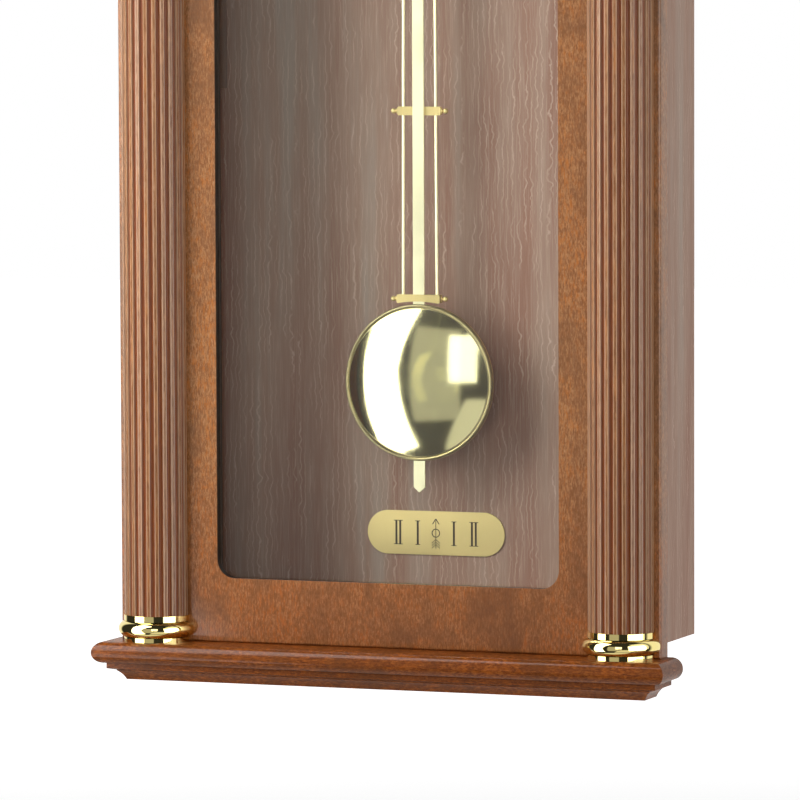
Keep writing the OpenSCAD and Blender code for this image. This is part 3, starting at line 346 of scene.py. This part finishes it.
def scaled_place(tree, scale):
    """Object coordinates, stretched by a scale for each axis."""
    place = tree.add("TexCoord").outputs["Object"]
    return tree.add("Mapping", {"Vector": place, "Scale": scale})


def noise(tree, scale, size, detail=3.0, roughness=0.55, distortion=0.0):
    """Noise whose marks are about "size" metres wide where the scale is 1."""
    return tree.add("TexNoise", {
        "Vector": scaled_place(tree, scale),
        "Scale": 1 / size,
        "Detail": detail,
        "Roughness": roughness,
        "Distortion": distortion,
    }).outputs["Fac"]


def set_bump(tree, shader, height, strength, depth):
    """Gives a shader fine relief that is "depth" metres deep at strength 1."""
    bump = tree.add("Bump", {"Height": height, "Strength": strength, "Distance": depth})
    tree.set(shader.inputs["Normal"], bump)


# Lacquered wood

# Where the dark, middle and light shades lie on the fleck noise
SHADE_PLACES = (0.35, 0.5, 0.65)
FLECK_RANGE = (0.3, 0.7)
VENEER_ROUGHNESS = (0.56, 0.44)
PORE_DEPTH = 0.0001
PORE_STRENGTH = 0.25
CLOUD_SIZE = 0.018
CLOUD_RANGE = (0.46, 0.66)
CLOUD_STRENGTH = 0.7
GLINT_SIZE = 0.0016
GLINT_RANGE = (0.48, 0.64)
# Glints grow from weak to strong where the clouds give way
CLEARING_RANGE = (0.54, 0.4)
GLINT_WEAK = 0.12
GLINT_STRONG = 0.6


def veneer(name, along, fleck, shades, orange, cloud, coat, gloss, specular):
    """Lacquered veneer: fine flecks along the grain, orange glints and darker clouds."""
    material, tree, shader = new_material(name, Coat_Weight=coat, Coat_Roughness=gloss,
                                          Specular_IOR_Level=specular)
    flecks = noise(tree, along, fleck, roughness=0.75)
    colour = tree.ramp(flecks, list(zip(SHADE_PLACES, shades)))
    clouds = noise(tree, TALL, CLOUD_SIZE, detail=5.0, roughness=0.65, distortion=0.3)
    colour = tree.mix(tree.span(clouds, *CLOUD_RANGE, 0.0, CLOUD_STRENGTH), colour, cloud)
    strokes = noise(tree, along, GLINT_SIZE, roughness=0.7)
    clearing = tree.span(clouds, *CLEARING_RANGE, GLINT_WEAK, GLINT_STRONG)
    glints = tree.math("MULTIPLY", tree.span(strokes, *GLINT_RANGE), clearing)
    colour = tree.mix(glints, colour, orange)
    tree.set(shader.inputs["Base Color"], colour)
    tree.set(shader.inputs["Roughness"], tree.span(flecks, *FLECK_RANGE, *VENEER_ROUGHNESS))
    set_bump(tree, shader, flecks, PORE_STRENGTH, PORE_DEPTH)
    return material, tree, shader, colour


# How far the beads round the glass reach past the window's edge
REBATE = 0.006
# Painted shade: near black for the window's reveal, where shade falls in the recess behind the
# door's front
REVEAL_SHADE = srgb(30, 22, 16)
# The painted shade in the window's reveal starts this far behind the door's front and fades over a
# hair's breadth
REVEAL_DEPTH = 0.0005
SHADE_EDGE = 0.0002
# Painted shade: the veneer darkens from above the window's lower edge to below it, where less light
# falls on the bottom rail
RAIL_ABOVE = 0.07
RAIL_BELOW = 0.01
RAIL_SHADE = (0.82, 0.68, 0.54, 1)


def door_wood():
    """The door's veneer, with painted shade: darker towards the bottom rail and near black in the
    window's reveal.
    """
    material, tree, shader, colour = veneer(
        "door_veneer", along=MOTTLED, fleck=0.0006,
        shades=(srgb(123, 79, 44), srgb(147, 98, 59), srgb(175, 127, 86)),
        orange=srgb(186, 106, 36), cloud=srgb(112, 75, 48),
        coat=0.6, gloss=0.12, specular=0.06)
    low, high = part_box("glass_beads")
    inset = REBATE - SHADE_EDGE
    x, y, z = tree.axes()
    inside = tree.math("MULTIPLY",
                       tree.between(x, low.x + inset, high.x - inset, SHADE_EDGE / 2),
                       tree.between(z, low.z + inset, high.z - inset, SHADE_EDGE / 2))
    window_z = low.z + REBATE
    # Painted shade: the veneer darkens towards the bottom rail
    rail_shade = tree.span(z, window_z + RAIL_ABOVE, window_z - RAIL_BELOW)
    colour = tree.mix(rail_shade, colour, RAIL_SHADE, blend="MULTIPLY")
    # Painted shade: near black on the window's reveal, behind the door's front
    shade_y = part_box("door_frame")[0].y + REVEAL_DEPTH
    deep = tree.span(y, shade_y, shade_y + SHADE_EDGE)
    reveal_shaded = tree.mix(tree.math("MULTIPLY", inside, deep), colour, REVEAL_SHADE)
    tree.set(shader.inputs["Base Color"], reveal_shaded)
    return material


door_veneer = door_wood()
moulding_veneer = veneer(
    "moulding_veneer", along=LEVEL, fleck=0.0007,
    shades=(srgb(84, 39, 8), srgb(113, 56, 15), srgb(146, 82, 30)),
    orange=srgb(152, 78, 14), cloud=srgb(92, 50, 18),
    coat=0.35, gloss=0.14, specular=0.05)[0]


FLUTE_PITCH = math.radians(15.25)
FLUTE_RADIUS = 0.0012
FLUTE_DEPTH = 0.0014
# The flutes' stain and painted shade end this far under the ridges
RIDGE_SKIN = 0.0001
FLUTE_STAIN_AND_SHADE = srgb(126, 57, 8)
FLUTE_STAIN_AND_SHADE_STRENGTH = 0.92
# The painted highlight on the flutes' edges begins just inside a flute's edge and ends on the
# ridge, in radians
HIGHLIGHT_INSIDE = 0.006
HIGHLIGHT_OUTSIDE = 0.024
HIGHLIGHT_SOFTNESS = 0.008
EDGE_HIGHLIGHT = srgb(214, 182, 152)
HIGHLIGHT_STRENGTH = 0.5
# Painted shade: the columns darken over this height above their feet, where less light falls
FOOT_HEIGHT = 0.16
FOOT_SHADE = (0.76, 0.69, 0.61, 1)


def column_wood(column):
    """Turned wood, stained and with painted shade in the flutes, with a painted highlight on their
    edges and painted shade at its foot.
    """
    material, tree, shader, colour = veneer(
        column + "_wood", along=UPRIGHT, fleck=0.0008,
        shades=(srgb(124, 78, 44), srgb(153, 107, 71), srgb(176, 134, 100)),
        orange=srgb(180, 112, 54), cloud=srgb(140, 98, 66),
        coat=0.4, gloss=0.12, specular=0.05)
    low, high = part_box(column)
    radius = (high.x - low.x) / 2
    x, y, z = tree.axes()
    side = tree.math("SUBTRACT", x, (low.x + high.x) / 2)
    deep = tree.math("SUBTRACT", y, high.y)
    # Painted shade: darker towards the column's foot
    foot_shade = tree.span(z, low.z + FOOT_HEIGHT, low.z)
    colour = tree.mix(foot_shade, colour, FOOT_SHADE, blend="MULTIPLY")
    # Stain and painted shade: darker and redder down in the flutes
    groove = tree.span(tree.radius(side, deep), radius - FLUTE_DEPTH, radius - RIDGE_SKIN,
                       FLUTE_STAIN_AND_SHADE_STRENGTH, 0.0)
    stained_and_shaded = tree.mix(groove, colour, FLUTE_STAIN_AND_SHADE)
    angle = tree.math("ARCTAN2", side, tree.math("MULTIPLY", deep, -1.0))
    from_groove = tree.math("PINGPONG", angle, FLUTE_PITCH / 2)
    flute_edge = math.asin(FLUTE_RADIUS / radius)
    # Painted highlight: the flutes' edges are lighter, as if light catches them
    arris = tree.between(from_groove, flute_edge - HIGHLIGHT_INSIDE, flute_edge + HIGHLIGHT_OUTSIDE,
                         HIGHLIGHT_SOFTNESS)
    edge_highlight = tree.math("MULTIPLY", arris, HIGHLIGHT_STRENGTH)
    tree.set(shader.inputs["Base Color"], tree.mix(edge_highlight, stained_and_shaded, EDGE_HIGHLIGHT))
    return material


column_left_wood = column_wood("column_left")
column_right_wood = column_wood("column_right")


# Foil

BAND_SIZE = 0.018
BAND_PLACES = (0.34, 0.5, 0.66)
STREAK_SIZE = 0.0007
STREAK_RANGE = (0.5, 0.68)
STREAK_STRENGTH = 0.25
# The grain lines sway sideways by up to half of this width
SWAY_SIZE = 0.007
SWAY_WIDTH = 0.0032
# Grain lines in a metre, and the slow noise that shifts them by up to HILL_LINES lines
LINES_PER_METRE = 320.0
HILL_FREQUENCY = 110.0
HILL_LINES = 2.2
# A line is full up to the first value and gone at the second, in line spacings
LINE_RANGE = (0.03, 0.11)
LINE_STRENGTH = 0.6
GAP_SIZE = 0.007
GAP_RANGE = (0.4, 0.56)
LINE_DEPTH = 0.0001
LINE_RELIEF = 0.2


def grain_lines(tree):
    """Thin, wavy, upright lines, as 1 on a line and 0 beside it."""
    place = tree.add("TexCoord").outputs["Object"]
    drift = noise(tree, WIDE, SWAY_SIZE)
    sway = tree.math("MULTIPLY_ADD", drift, SWAY_WIDTH, -SWAY_WIDTH / 2)
    shift = tree.add("CombineXYZ", {0: sway, 1: sway})
    shifted = tree.add("VectorMath", {0: place, 1: shift}, operation="ADD")
    stretched = tree.add("Mapping", {"Vector": shifted, "Scale": WAVY})
    hills = tree.add("TexNoise", {"Vector": stretched, "Scale": HILL_FREQUENCY, "Detail": 1.0})
    axes = tree.add("SeparateXYZ", {0: shifted})
    across = tree.math("ADD", axes.outputs["X"], axes.outputs["Y"])
    bends = tree.math("MULTIPLY", hills, HILL_LINES)
    rows = tree.math("MULTIPLY_ADD", across, LINES_PER_METRE, bends)
    return tree.span(tree.math("PINGPONG", rows, 0.5), *LINE_RANGE, 1.0, 0.0)


def foil(name, dark, middle, light, streak):
    """Wood-grain foil: soft upright bands, fine streaks and thin, pale, wavy grain lines."""
    material, tree, shader = new_material(name, Roughness=0.5, Specular_IOR_Level=0.18)
    bands = noise(tree, BANDED, BAND_SIZE, detail=4.0, roughness=0.6)
    colour = tree.ramp(bands, list(zip(BAND_PLACES, (dark, middle, light))))
    fine = noise(tree, STREAKED, STREAK_SIZE, detail=2.0)
    colour = tree.mix(tree.span(fine, *STREAK_RANGE, 0.0, STREAK_STRENGTH), colour, streak)
    line = grain_lines(tree)
    gaps = noise(tree, BROKEN, GAP_SIZE)
    drawn = tree.math("MULTIPLY", line, tree.span(gaps, *GAP_RANGE, 0.0, LINE_STRENGTH))
    tree.set(shader.inputs["Base Color"], tree.mix(drawn, colour, streak))
    set_bump(tree, shader, line, LINE_RELIEF, LINE_DEPTH)
    return material


case_foil = foil("case_foil", dark=srgb(152, 109, 90), middle=srgb(164, 131, 113),
                 light=srgb(169, 148, 133), streak=srgb(210, 182, 162))
# Painted shade: the battens get a darker foil than the case, standing in for the shade beside the
# window
batten_shade_foil = foil("batten_shade_foil", dark=srgb(98, 70, 54), middle=srgb(112, 84, 66),
                   light=srgb(126, 97, 77), streak=srgb(126, 105, 90))
beech = foil("beech", dark=srgb(176, 140, 100), middle=srgb(196, 162, 120),
             light=srgb(208, 178, 138), streak=srgb(160, 122, 84))


# Metal

SMUDGE_SIZE = 0.02
SMUDGE_RANGE = (0.35, 0.7)
SMUDGE_SMOOTH = 0.85
SMUDGE_ROUGH = 1.25
BRUSH_SIZE = 0.0003
BRUSH_DEPTH = 0.00002


def metal(name, colour, roughness, brushed=0.0):
    """Metal with faint smudges, and fine level brushing where "brushed" is over 0."""
    material, tree, shader = new_material(name, Metallic=1.0, Base_Color=colour)
    smudges = noise(tree, EVEN, SMUDGE_SIZE)
    tree.set(shader.inputs["Roughness"],
             tree.span(smudges, *SMUDGE_RANGE, roughness * SMUDGE_SMOOTH, roughness * SMUDGE_ROUGH))
    if brushed > 0:
        lines = noise(tree, BRUSHED, BRUSH_SIZE, detail=2.0)
        set_bump(tree, shader, lines, brushed, BRUSH_DEPTH)
    return material


BOB_RIM = 0.0372
RIM_EDGE = 0.0005
RIM_COLOUR = srgb(160, 148, 108)
RIM_ROUGHER = 0.2


def dull_rim(material):
    """Makes the bob's rim satin and darker than its polished face."""
    tree = Tree(material.node_tree)
    shader = material.node_tree.nodes["Principled BSDF"]
    axes = tree.axes()
    reach = tree.radius(axes["X"], tree.math("SUBTRACT", axes["Z"], BOB_PLACE.z))
    rim = tree.span(reach, BOB_RIM, BOB_RIM + RIM_EDGE)
    face_colour = tuple(shader.inputs["Base Color"].default_value)
    face_roughness = shader.inputs["Roughness"].links[0].from_socket
    rim_roughness = tree.math("MULTIPLY_ADD", rim, RIM_ROUGHER, face_roughness)
    tree.set(shader.inputs["Base Color"], tree.mix(rim, face_colour, RIM_COLOUR))
    tree.set(shader.inputs["Roughness"], rim_roughness)


polished_brass = metal("polished_brass", srgb(248, 230, 156), 0.05)
bob_brass = metal("bob_brass", srgb(243, 234, 178), 0.1)
dull_rim(bob_brass)
rod_brass = metal("rod_brass", srgb(255, 248, 204), 0.36)
satin_brass = metal("satin_brass", srgb(226, 204, 139), 0.36, brushed=0.3)
zinc = metal("zinc_steel", srgb(208, 208, 212), 0.28)
magnet_metal = metal("magnet_metal", srgb(120, 120, 124), 0.35)


# Plastic, rubber, paint and glass

PATCH_SIZE = 0.03
# A darker patch keeps this share of the colour
PATCH_SHADE = 0.88
SPECK_RANGE = (0.3, 0.7)
SPECK_SMOOTH = 0.9
SPECK_ROUGH = 1.1
SPECK_RELIEF = 0.3
PAINT_DEPTH = 0.00001
GLASS_TINT = (0.97, 0.99, 0.98, 1)


def plain(name, colour, roughness, grain=0.0004, depth=0.00004, **sockets):
    """Moulded plastic, rubber or paint with a fine grain."""
    material, tree, shader = new_material(name, **sockets)
    patches = noise(tree, EVEN, PATCH_SIZE, detail=2.0)
    darker = tuple(PATCH_SHADE * share for share in colour[:3]) + (1.0,)
    tree.set(shader.inputs["Base Color"], tree.mix(patches, darker, colour))
    specks = noise(tree, EVEN, grain, detail=2.0)
    tree.set(shader.inputs["Roughness"],
             tree.span(specks, *SPECK_RANGE, roughness * SPECK_SMOOTH, roughness * SPECK_ROUGH))
    set_bump(tree, shader, specks, SPECK_RELIEF, depth)
    return material


def clear_glass():
    """Clear glass that lets the light of the lamps through."""
    material, tree, shader = new_material("window_glass", Roughness=0.0, IOR=1.45,
                                          Base_Color=GLASS_TINT, Transmission_Weight=1.0)
    rays = tree.add("LightPath")
    passing = tree.add("BsdfTransparent", {"Color": GLASS_TINT})
    open_to = tree.math("MAXIMUM", rays.outputs["Is Shadow Ray"], rays.outputs["Is Diffuse Ray"])
    both = tree.add("MixShader", {0: open_to, 1: shader, 2: passing})
    tree.set(material.node_tree.nodes["Material Output"].inputs["Surface"], both)
    return material


black_plastic = plain("black_plastic", srgb(42, 42, 45), 0.45)
white_plastic = plain("white_plastic", srgb(226, 224, 214), 0.4)
# Painted shade: the beads round the glass are near black, for the shade in the window's rebate
bead_shade = plain("bead_shade", srgb(44, 30, 22), 0.5)
rubber = plain("bumper_rubber", srgb(46, 46, 46), 0.7)
dial_paint = plain("dial_paint", srgb(238, 232, 212), 0.5, grain=0.0008, depth=PAINT_DEPTH)
ink = plain("dial_ink", srgb(30, 26, 24), 0.45, depth=PAINT_DEPTH)
plate_ink = plain("plate_ink", srgb(66, 50, 26), 0.8, depth=PAINT_DEPTH)
hand_black = plain("hand_black", srgb(24, 23, 22), 0.3, depth=PAINT_DEPTH, Coat_Weight=0.3)
circuit_green = plain("circuit_green", srgb(36, 92, 52), 0.35)
copper_wire = plain("copper_wire", srgb(176, 98, 56), 0.35, grain=0.0003)
battery_can = plain("battery_can", srgb(62, 76, 104), 0.3, depth=PAINT_DEPTH)
window_glass = clear_glass()


MATERIALS = {
    "side_panel_left": case_foil, "side_panel_right": case_foil, "top_panel": case_foil,
    "bottom_panel": case_foil, "back_panel": case_foil, "hanging_rail": beech,
    "dial_battens": batten_shade_foil, "dial_board": case_foil, "dial_plate": dial_paint,
    "dial_bezel": polished_brass, "beat_plate": satin_brass, "keyhole_plate": zinc,
    "wall_bumpers": rubber, "catch_magnet": magnet_metal, "hinge_case_leaves": polished_brass,
    "hinge_pins": polished_brass, "case_screws": satin_brass,
    "movement_front_case": black_plastic, "movement_middle_plate": white_plastic,
    "movement_back_cover": black_plastic, "movement_nut": polished_brass,
    "circuit_board": circuit_green, "drive_coil": copper_wire, "stepper_coil": copper_wire,
    "stepper_stator": zinc, "stepper_rotor": magnet_metal, "battery": battery_can,
    "battery_contacts": zinc, "lever_pin": zinc, "door_frame": door_veneer,
    "window_glass": window_glass, "glass_beads": bead_shade,
    "column_left": column_left_wood, "column_right": column_right_wood,
    "column_bases": polished_brass, "column_caps": polished_brass,
    "base_board": moulding_veneer, "base_moulding": moulding_veneer,
    "cornice_board": moulding_veneer, "cornice_moulding": moulding_veneer,
    "hinge_door_leaves": polished_brass, "hinge_door_screws": satin_brass,
    "catch_strike": zinc, "pendulum_lever": white_plastic, "lever_magnet": magnet_metal,
    "pendulum_rod": rod_brass, "pendulum_side_rods": rod_brass,
    "pendulum_crossbars": satin_brass, "bob_front": bob_brass, "bob_back": satin_brass,
    "minute_hand": hand_black, "hand_nut": polished_brass, "centre_wheel": satin_brass,
    "hour_hand": hand_black, "hour_wheel": white_plastic, "minute_wheel": white_plastic,
    "setting_knob": white_plastic, "third_wheel": satin_brass, "second_wheel": satin_brass,
}
for node_name, material in MATERIALS.items():
    for slot in nodes[node_name].material_slots:
        slot.material = material


# Soft edges

MERGE_DISTANCE = 1e-6
SHARP_ANGLE = math.radians(32)
ROUNDED = {
    "door_frame": 0.0005, "column_left": 0.00025, "column_right": 0.00025,
    "base_board": 0.0003, "base_moulding": 0.0003, "cornice_board": 0.0003,
    "cornice_moulding": 0.0003, "side_panel_left": 0.0003, "side_panel_right": 0.0003,
    "beat_plate": 0.00015, "pendulum_rod": 0.00015, "pendulum_crossbars": 0.00015,
}


def edge_smoother():
    """Joins the faces of a carried-over node and shades them smooth across gentle edges."""
    group = bpy.data.node_groups.new("edge_smoother", "GeometryNodeTree")
    for side in ("INPUT", "OUTPUT"):
        group.interface.new_socket("Geometry", in_out=side, socket_type="NodeSocketGeometry")
    start = group.nodes.new("NodeGroupInput")
    joined = group.nodes.new("GeometryNodeMergeByDistance")
    joined.inputs["Distance"].default_value = MERGE_DISTANCE
    angle = group.nodes.new("GeometryNodeInputMeshEdgeAngle")
    sharp = group.nodes.new("FunctionNodeCompare")
    sharp.operation = "GREATER_THAN"
    sharp.inputs["B"].default_value = SHARP_ANGLE
    shaded = group.nodes.new("GeometryNodeSetMeshNormal")
    shaded.mode = "SHARPNESS"
    shaded.inputs["Remove Custom"].default_value = True
    end = group.nodes.new("NodeGroupOutput")
    group.links.new(start.outputs[0], joined.inputs["Geometry"])
    group.links.new(joined.outputs[0], shaded.inputs["Mesh"])
    group.links.new(angle.outputs["Unsigned Angle"], sharp.inputs["A"])
    group.links.new(sharp.outputs["Result"], shaded.inputs["Edge Sharpness"])
    group.links.new(shaded.outputs[0], end.inputs[0])
    return group


def soften_edges():
    """Shades every node smooth, and rounds the edges of wood and plates a little."""
    smoother = edge_smoother()
    for node_name, piece in nodes.items():
        piece.modifiers.new("smoother", "NODES").node_group = smoother
        if node_name in ROUNDED:
            rounding = piece.modifiers.new("rounding", "BEVEL")
            rounding.width = ROUNDED[node_name]
            rounding.segments = 2
            rounding.limit_method = "ANGLE"
            rounding.angle_limit = SHARP_ANGLE
            rounding.harden_normals = True


soften_edges()


# Printed marks

def prints(name, outlines, plate_y, thickness, material, body):
    """A piece made of flat shapes in X and Z, each a closed prism half sunk in its plate."""
    front_y = plate_y - thickness / 2
    mesh = bpy.data.meshes.new(name)
    form = bmesh.new()
    for outline in outlines:
        fronts = [form.verts.new((x, front_y, z)) for x, z in outline]
        backs = [form.verts.new((x, front_y + thickness, z)) for x, z in outline]
        form.faces.new(fronts)
        form.faces.new(backs[::-1])
        for first in range(len(outline)):
            second = (first + 1) % len(outline)
            form.faces.new((fronts[second], fronts[first], backs[first], backs[second]))
    bmesh.ops.recalc_face_normals(form, faces=form.faces)
    form.to_mesh(mesh)
    form.free()
    mesh.materials.append(material)
    piece = bpy.data.objects.new(name, mesh)
    bpy.context.scene.collection.objects.link(piece)
    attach(piece, body)


def bar(x0, z0, x1, z1, half_width):
    """A straight stroke between two points, cut level at its ends."""
    return [(x0 - half_width, z0), (x0 + half_width, z0), (x1 + half_width, z1),
            (x1 - half_width, z1)]


def block(x, z, half_width, half_height):
    """A rectangle round a point, such as a serif or a tick."""
    return [(x - half_width, z - half_height), (x + half_width, z - half_height),
            (x + half_width, z + half_height), (x - half_width, z + half_height)]


def turned(outline, angle, x, z):
    """An outline turned clockwise about the origin and then moved."""
    cosine = math.cos(angle)
    sine = math.sin(angle)
    return [(x + across * cosine + up * sine, z - across * sine + up * cosine)
            for across, up in outline]


def annulus(inner, outer, x, z, steps=96):
    """A flat ring, as quadrilaterals that meet at their sides."""
    outlines = []
    for step in range(steps):
        first = 2 * math.pi * step / steps
        second = 2 * math.pi * (step + 1) / steps
        outlines.append([(x + radius * math.sin(angle), z + radius * math.cos(angle))
                         for radius, angle in ((inner, first), (outer, first),
                                               (outer, second), (inner, second))])
    return outlines


# Widths as shares of a numeral's height, and half a serif as a share of a width
GLYPH_WIDTH = {"I": 0.27, "V": 0.56, "X": 0.56}
SERIF_SHARE = 0.46


def roman(numeral, height, thick, thin):
    """Strokes of a Roman numeral that is centred on the origin."""
    widths = [GLYPH_WIDTH[glyph] * height for glyph in numeral]
    x = -sum(widths) / 2
    low = -height / 2
    high = height / 2
    strokes = []
    for glyph, width in zip(numeral, widths):
        middle = x + width / 2
        reach = width / 2 - thick
        if glyph == "I":
            strokes.append(bar(middle, low, middle, high, thick / 2))
        elif glyph == "V":
            strokes.append(bar(middle, low, middle - reach, high, thick / 2))
            strokes.append(bar(middle, low, middle + reach, high, thin / 2))
        else:
            strokes.append(bar(middle + reach, low, middle - reach, high, thick / 2))
            strokes.append(bar(middle - reach, low, middle + reach, high, thin / 2))
        for end in (low, high):
            strokes.append(block(middle, end, width * SERIF_SHARE, thin / 2))
        x += width
    return strokes


HOURS = ("XII", "I", "II", "III", "IIII", "V", "VI", "VII", "VIII", "IX", "X", "XI")
NUMERAL_RADIUS = 0.0635
NUMERAL_HEIGHT = 0.0165
NUMERAL_THICK = 0.0019
NUMERAL_THIN = 0.0005
TRACK_INNER = 0.0752
TRACK_OUTER = 0.0784
RING_INNER = 0.0512
RING_WIDTH = 0.0003
HOUR_TICK = 0.0006
MINUTE_TICK = 0.0002
DIAL_INK = 0.00008


def mark_dial():
    """Prints the numerals, the minute track and three thin rings on the dial."""
    low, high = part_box("dial_plate")
    centre_x = (low.x + high.x) / 2
    centre_z = (low.z + high.z) / 2
    strokes = []
    for hour, numeral in enumerate(HOURS):
        angle = math.radians(30 * hour)
        x = centre_x + NUMERAL_RADIUS * math.sin(angle)
        z = centre_z + NUMERAL_RADIUS * math.cos(angle)
        for stroke in roman(numeral, NUMERAL_HEIGHT, NUMERAL_THICK, NUMERAL_THIN):
            strokes.append(turned(stroke, angle, x, z))
    for minute in range(60):
        half = HOUR_TICK if minute % 5 == 0 else MINUTE_TICK
        tick = bar(0.0, TRACK_INNER, 0.0, TRACK_OUTER, half)
        strokes.append(turned(tick, math.radians(6 * minute), centre_x, centre_z))
    for inner in (TRACK_INNER - RING_WIDTH, TRACK_OUTER, RING_INNER):
        strokes.extend(annulus(inner, inner + RING_WIDTH, centre_x, centre_z))
    prints("dial_marks", strokes, low.y, DIAL_INK, ink, "case")


FIGURE_HALF_HEIGHT = 0.0061
FIGURE_STROKE = 0.00055
FIGURE_SERIF = 0.00018
# Each figure's strokes, its middle, and half the width of its serifs
FIGURES = (
    ((-0.00105, 0.00105), -0.0206, 0.00245),
    ((0.0,), -0.0099, 0.00135),
    ((0.0,), 0.0099, 0.00135),
    ((-0.00105, 0.00105), 0.0208, 0.00245),
)
# The arrow's two ends, its ring, and the slanted strokes of its head and tail
ARROW_LOW = 0.008
ARROW_HIGH = 0.0066
ARROW_STROKE = 0.0002
ARROW_RING = (0.0018, 0.0023)
HEAD_REACH = 0.0018
HEAD_LOW = 0.0046
HEAD_HIGH = 0.0074
HEAD_STROKE = 0.0003
FEATHER_REACH = 0.0022
FEATHER_RISE = 0.002
FEATHER_DROPS = (0.0032, 0.0045, 0.0058)
FEATHER_STROKE = 0.00025
PLATE_INK = 0.00006


def beat_figures(x, z):
    """The plain figures II, I, I and II, two on each side of a point."""
    low = z - FIGURE_HALF_HEIGHT
    high = z + FIGURE_HALF_HEIGHT
    strokes = []
    for places, middle, serif in FIGURES:
        centre = middle + x
        for place in places:
            strokes.append(bar(centre + place, low, centre + place, high, FIGURE_STROKE))
        for end in (low, high):
            strokes.append(block(centre, end, serif, FIGURE_SERIF))
    return strokes


def beat_arrow(x, z):
    """An upright arrow through a ring, which marks the middle of the swing."""
    strokes = [bar(x, z - ARROW_LOW, x, z + ARROW_HIGH, ARROW_STROKE)]
    strokes.extend(annulus(*ARROW_RING, x, z, steps=32))
    for turn in (-1, 1):
        strokes.append(bar(x + HEAD_REACH * turn, z + HEAD_LOW, x, z + HEAD_HIGH, HEAD_STROKE))
        for drop in FEATHER_DROPS:
            strokes.append(bar(x + FEATHER_REACH * turn, z - drop - FEATHER_RISE, x, z - drop,
                               FEATHER_STROKE))
    return strokes


def mark_beat_plate():
    """Prints the scale of the swing on the beat plate."""
    low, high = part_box("beat_plate")
    x = (low.x + high.x) / 2
    z = (low.z + high.z) / 2
    strokes = beat_figures(x, z) + beat_arrow(x, z)
    prints("beat_marks", strokes, low.y, PLATE_INK, plate_ink, "case")


mark_dial()
mark_beat_plate()

bpy.context.scene.view_settings.view_transform = "Standard"
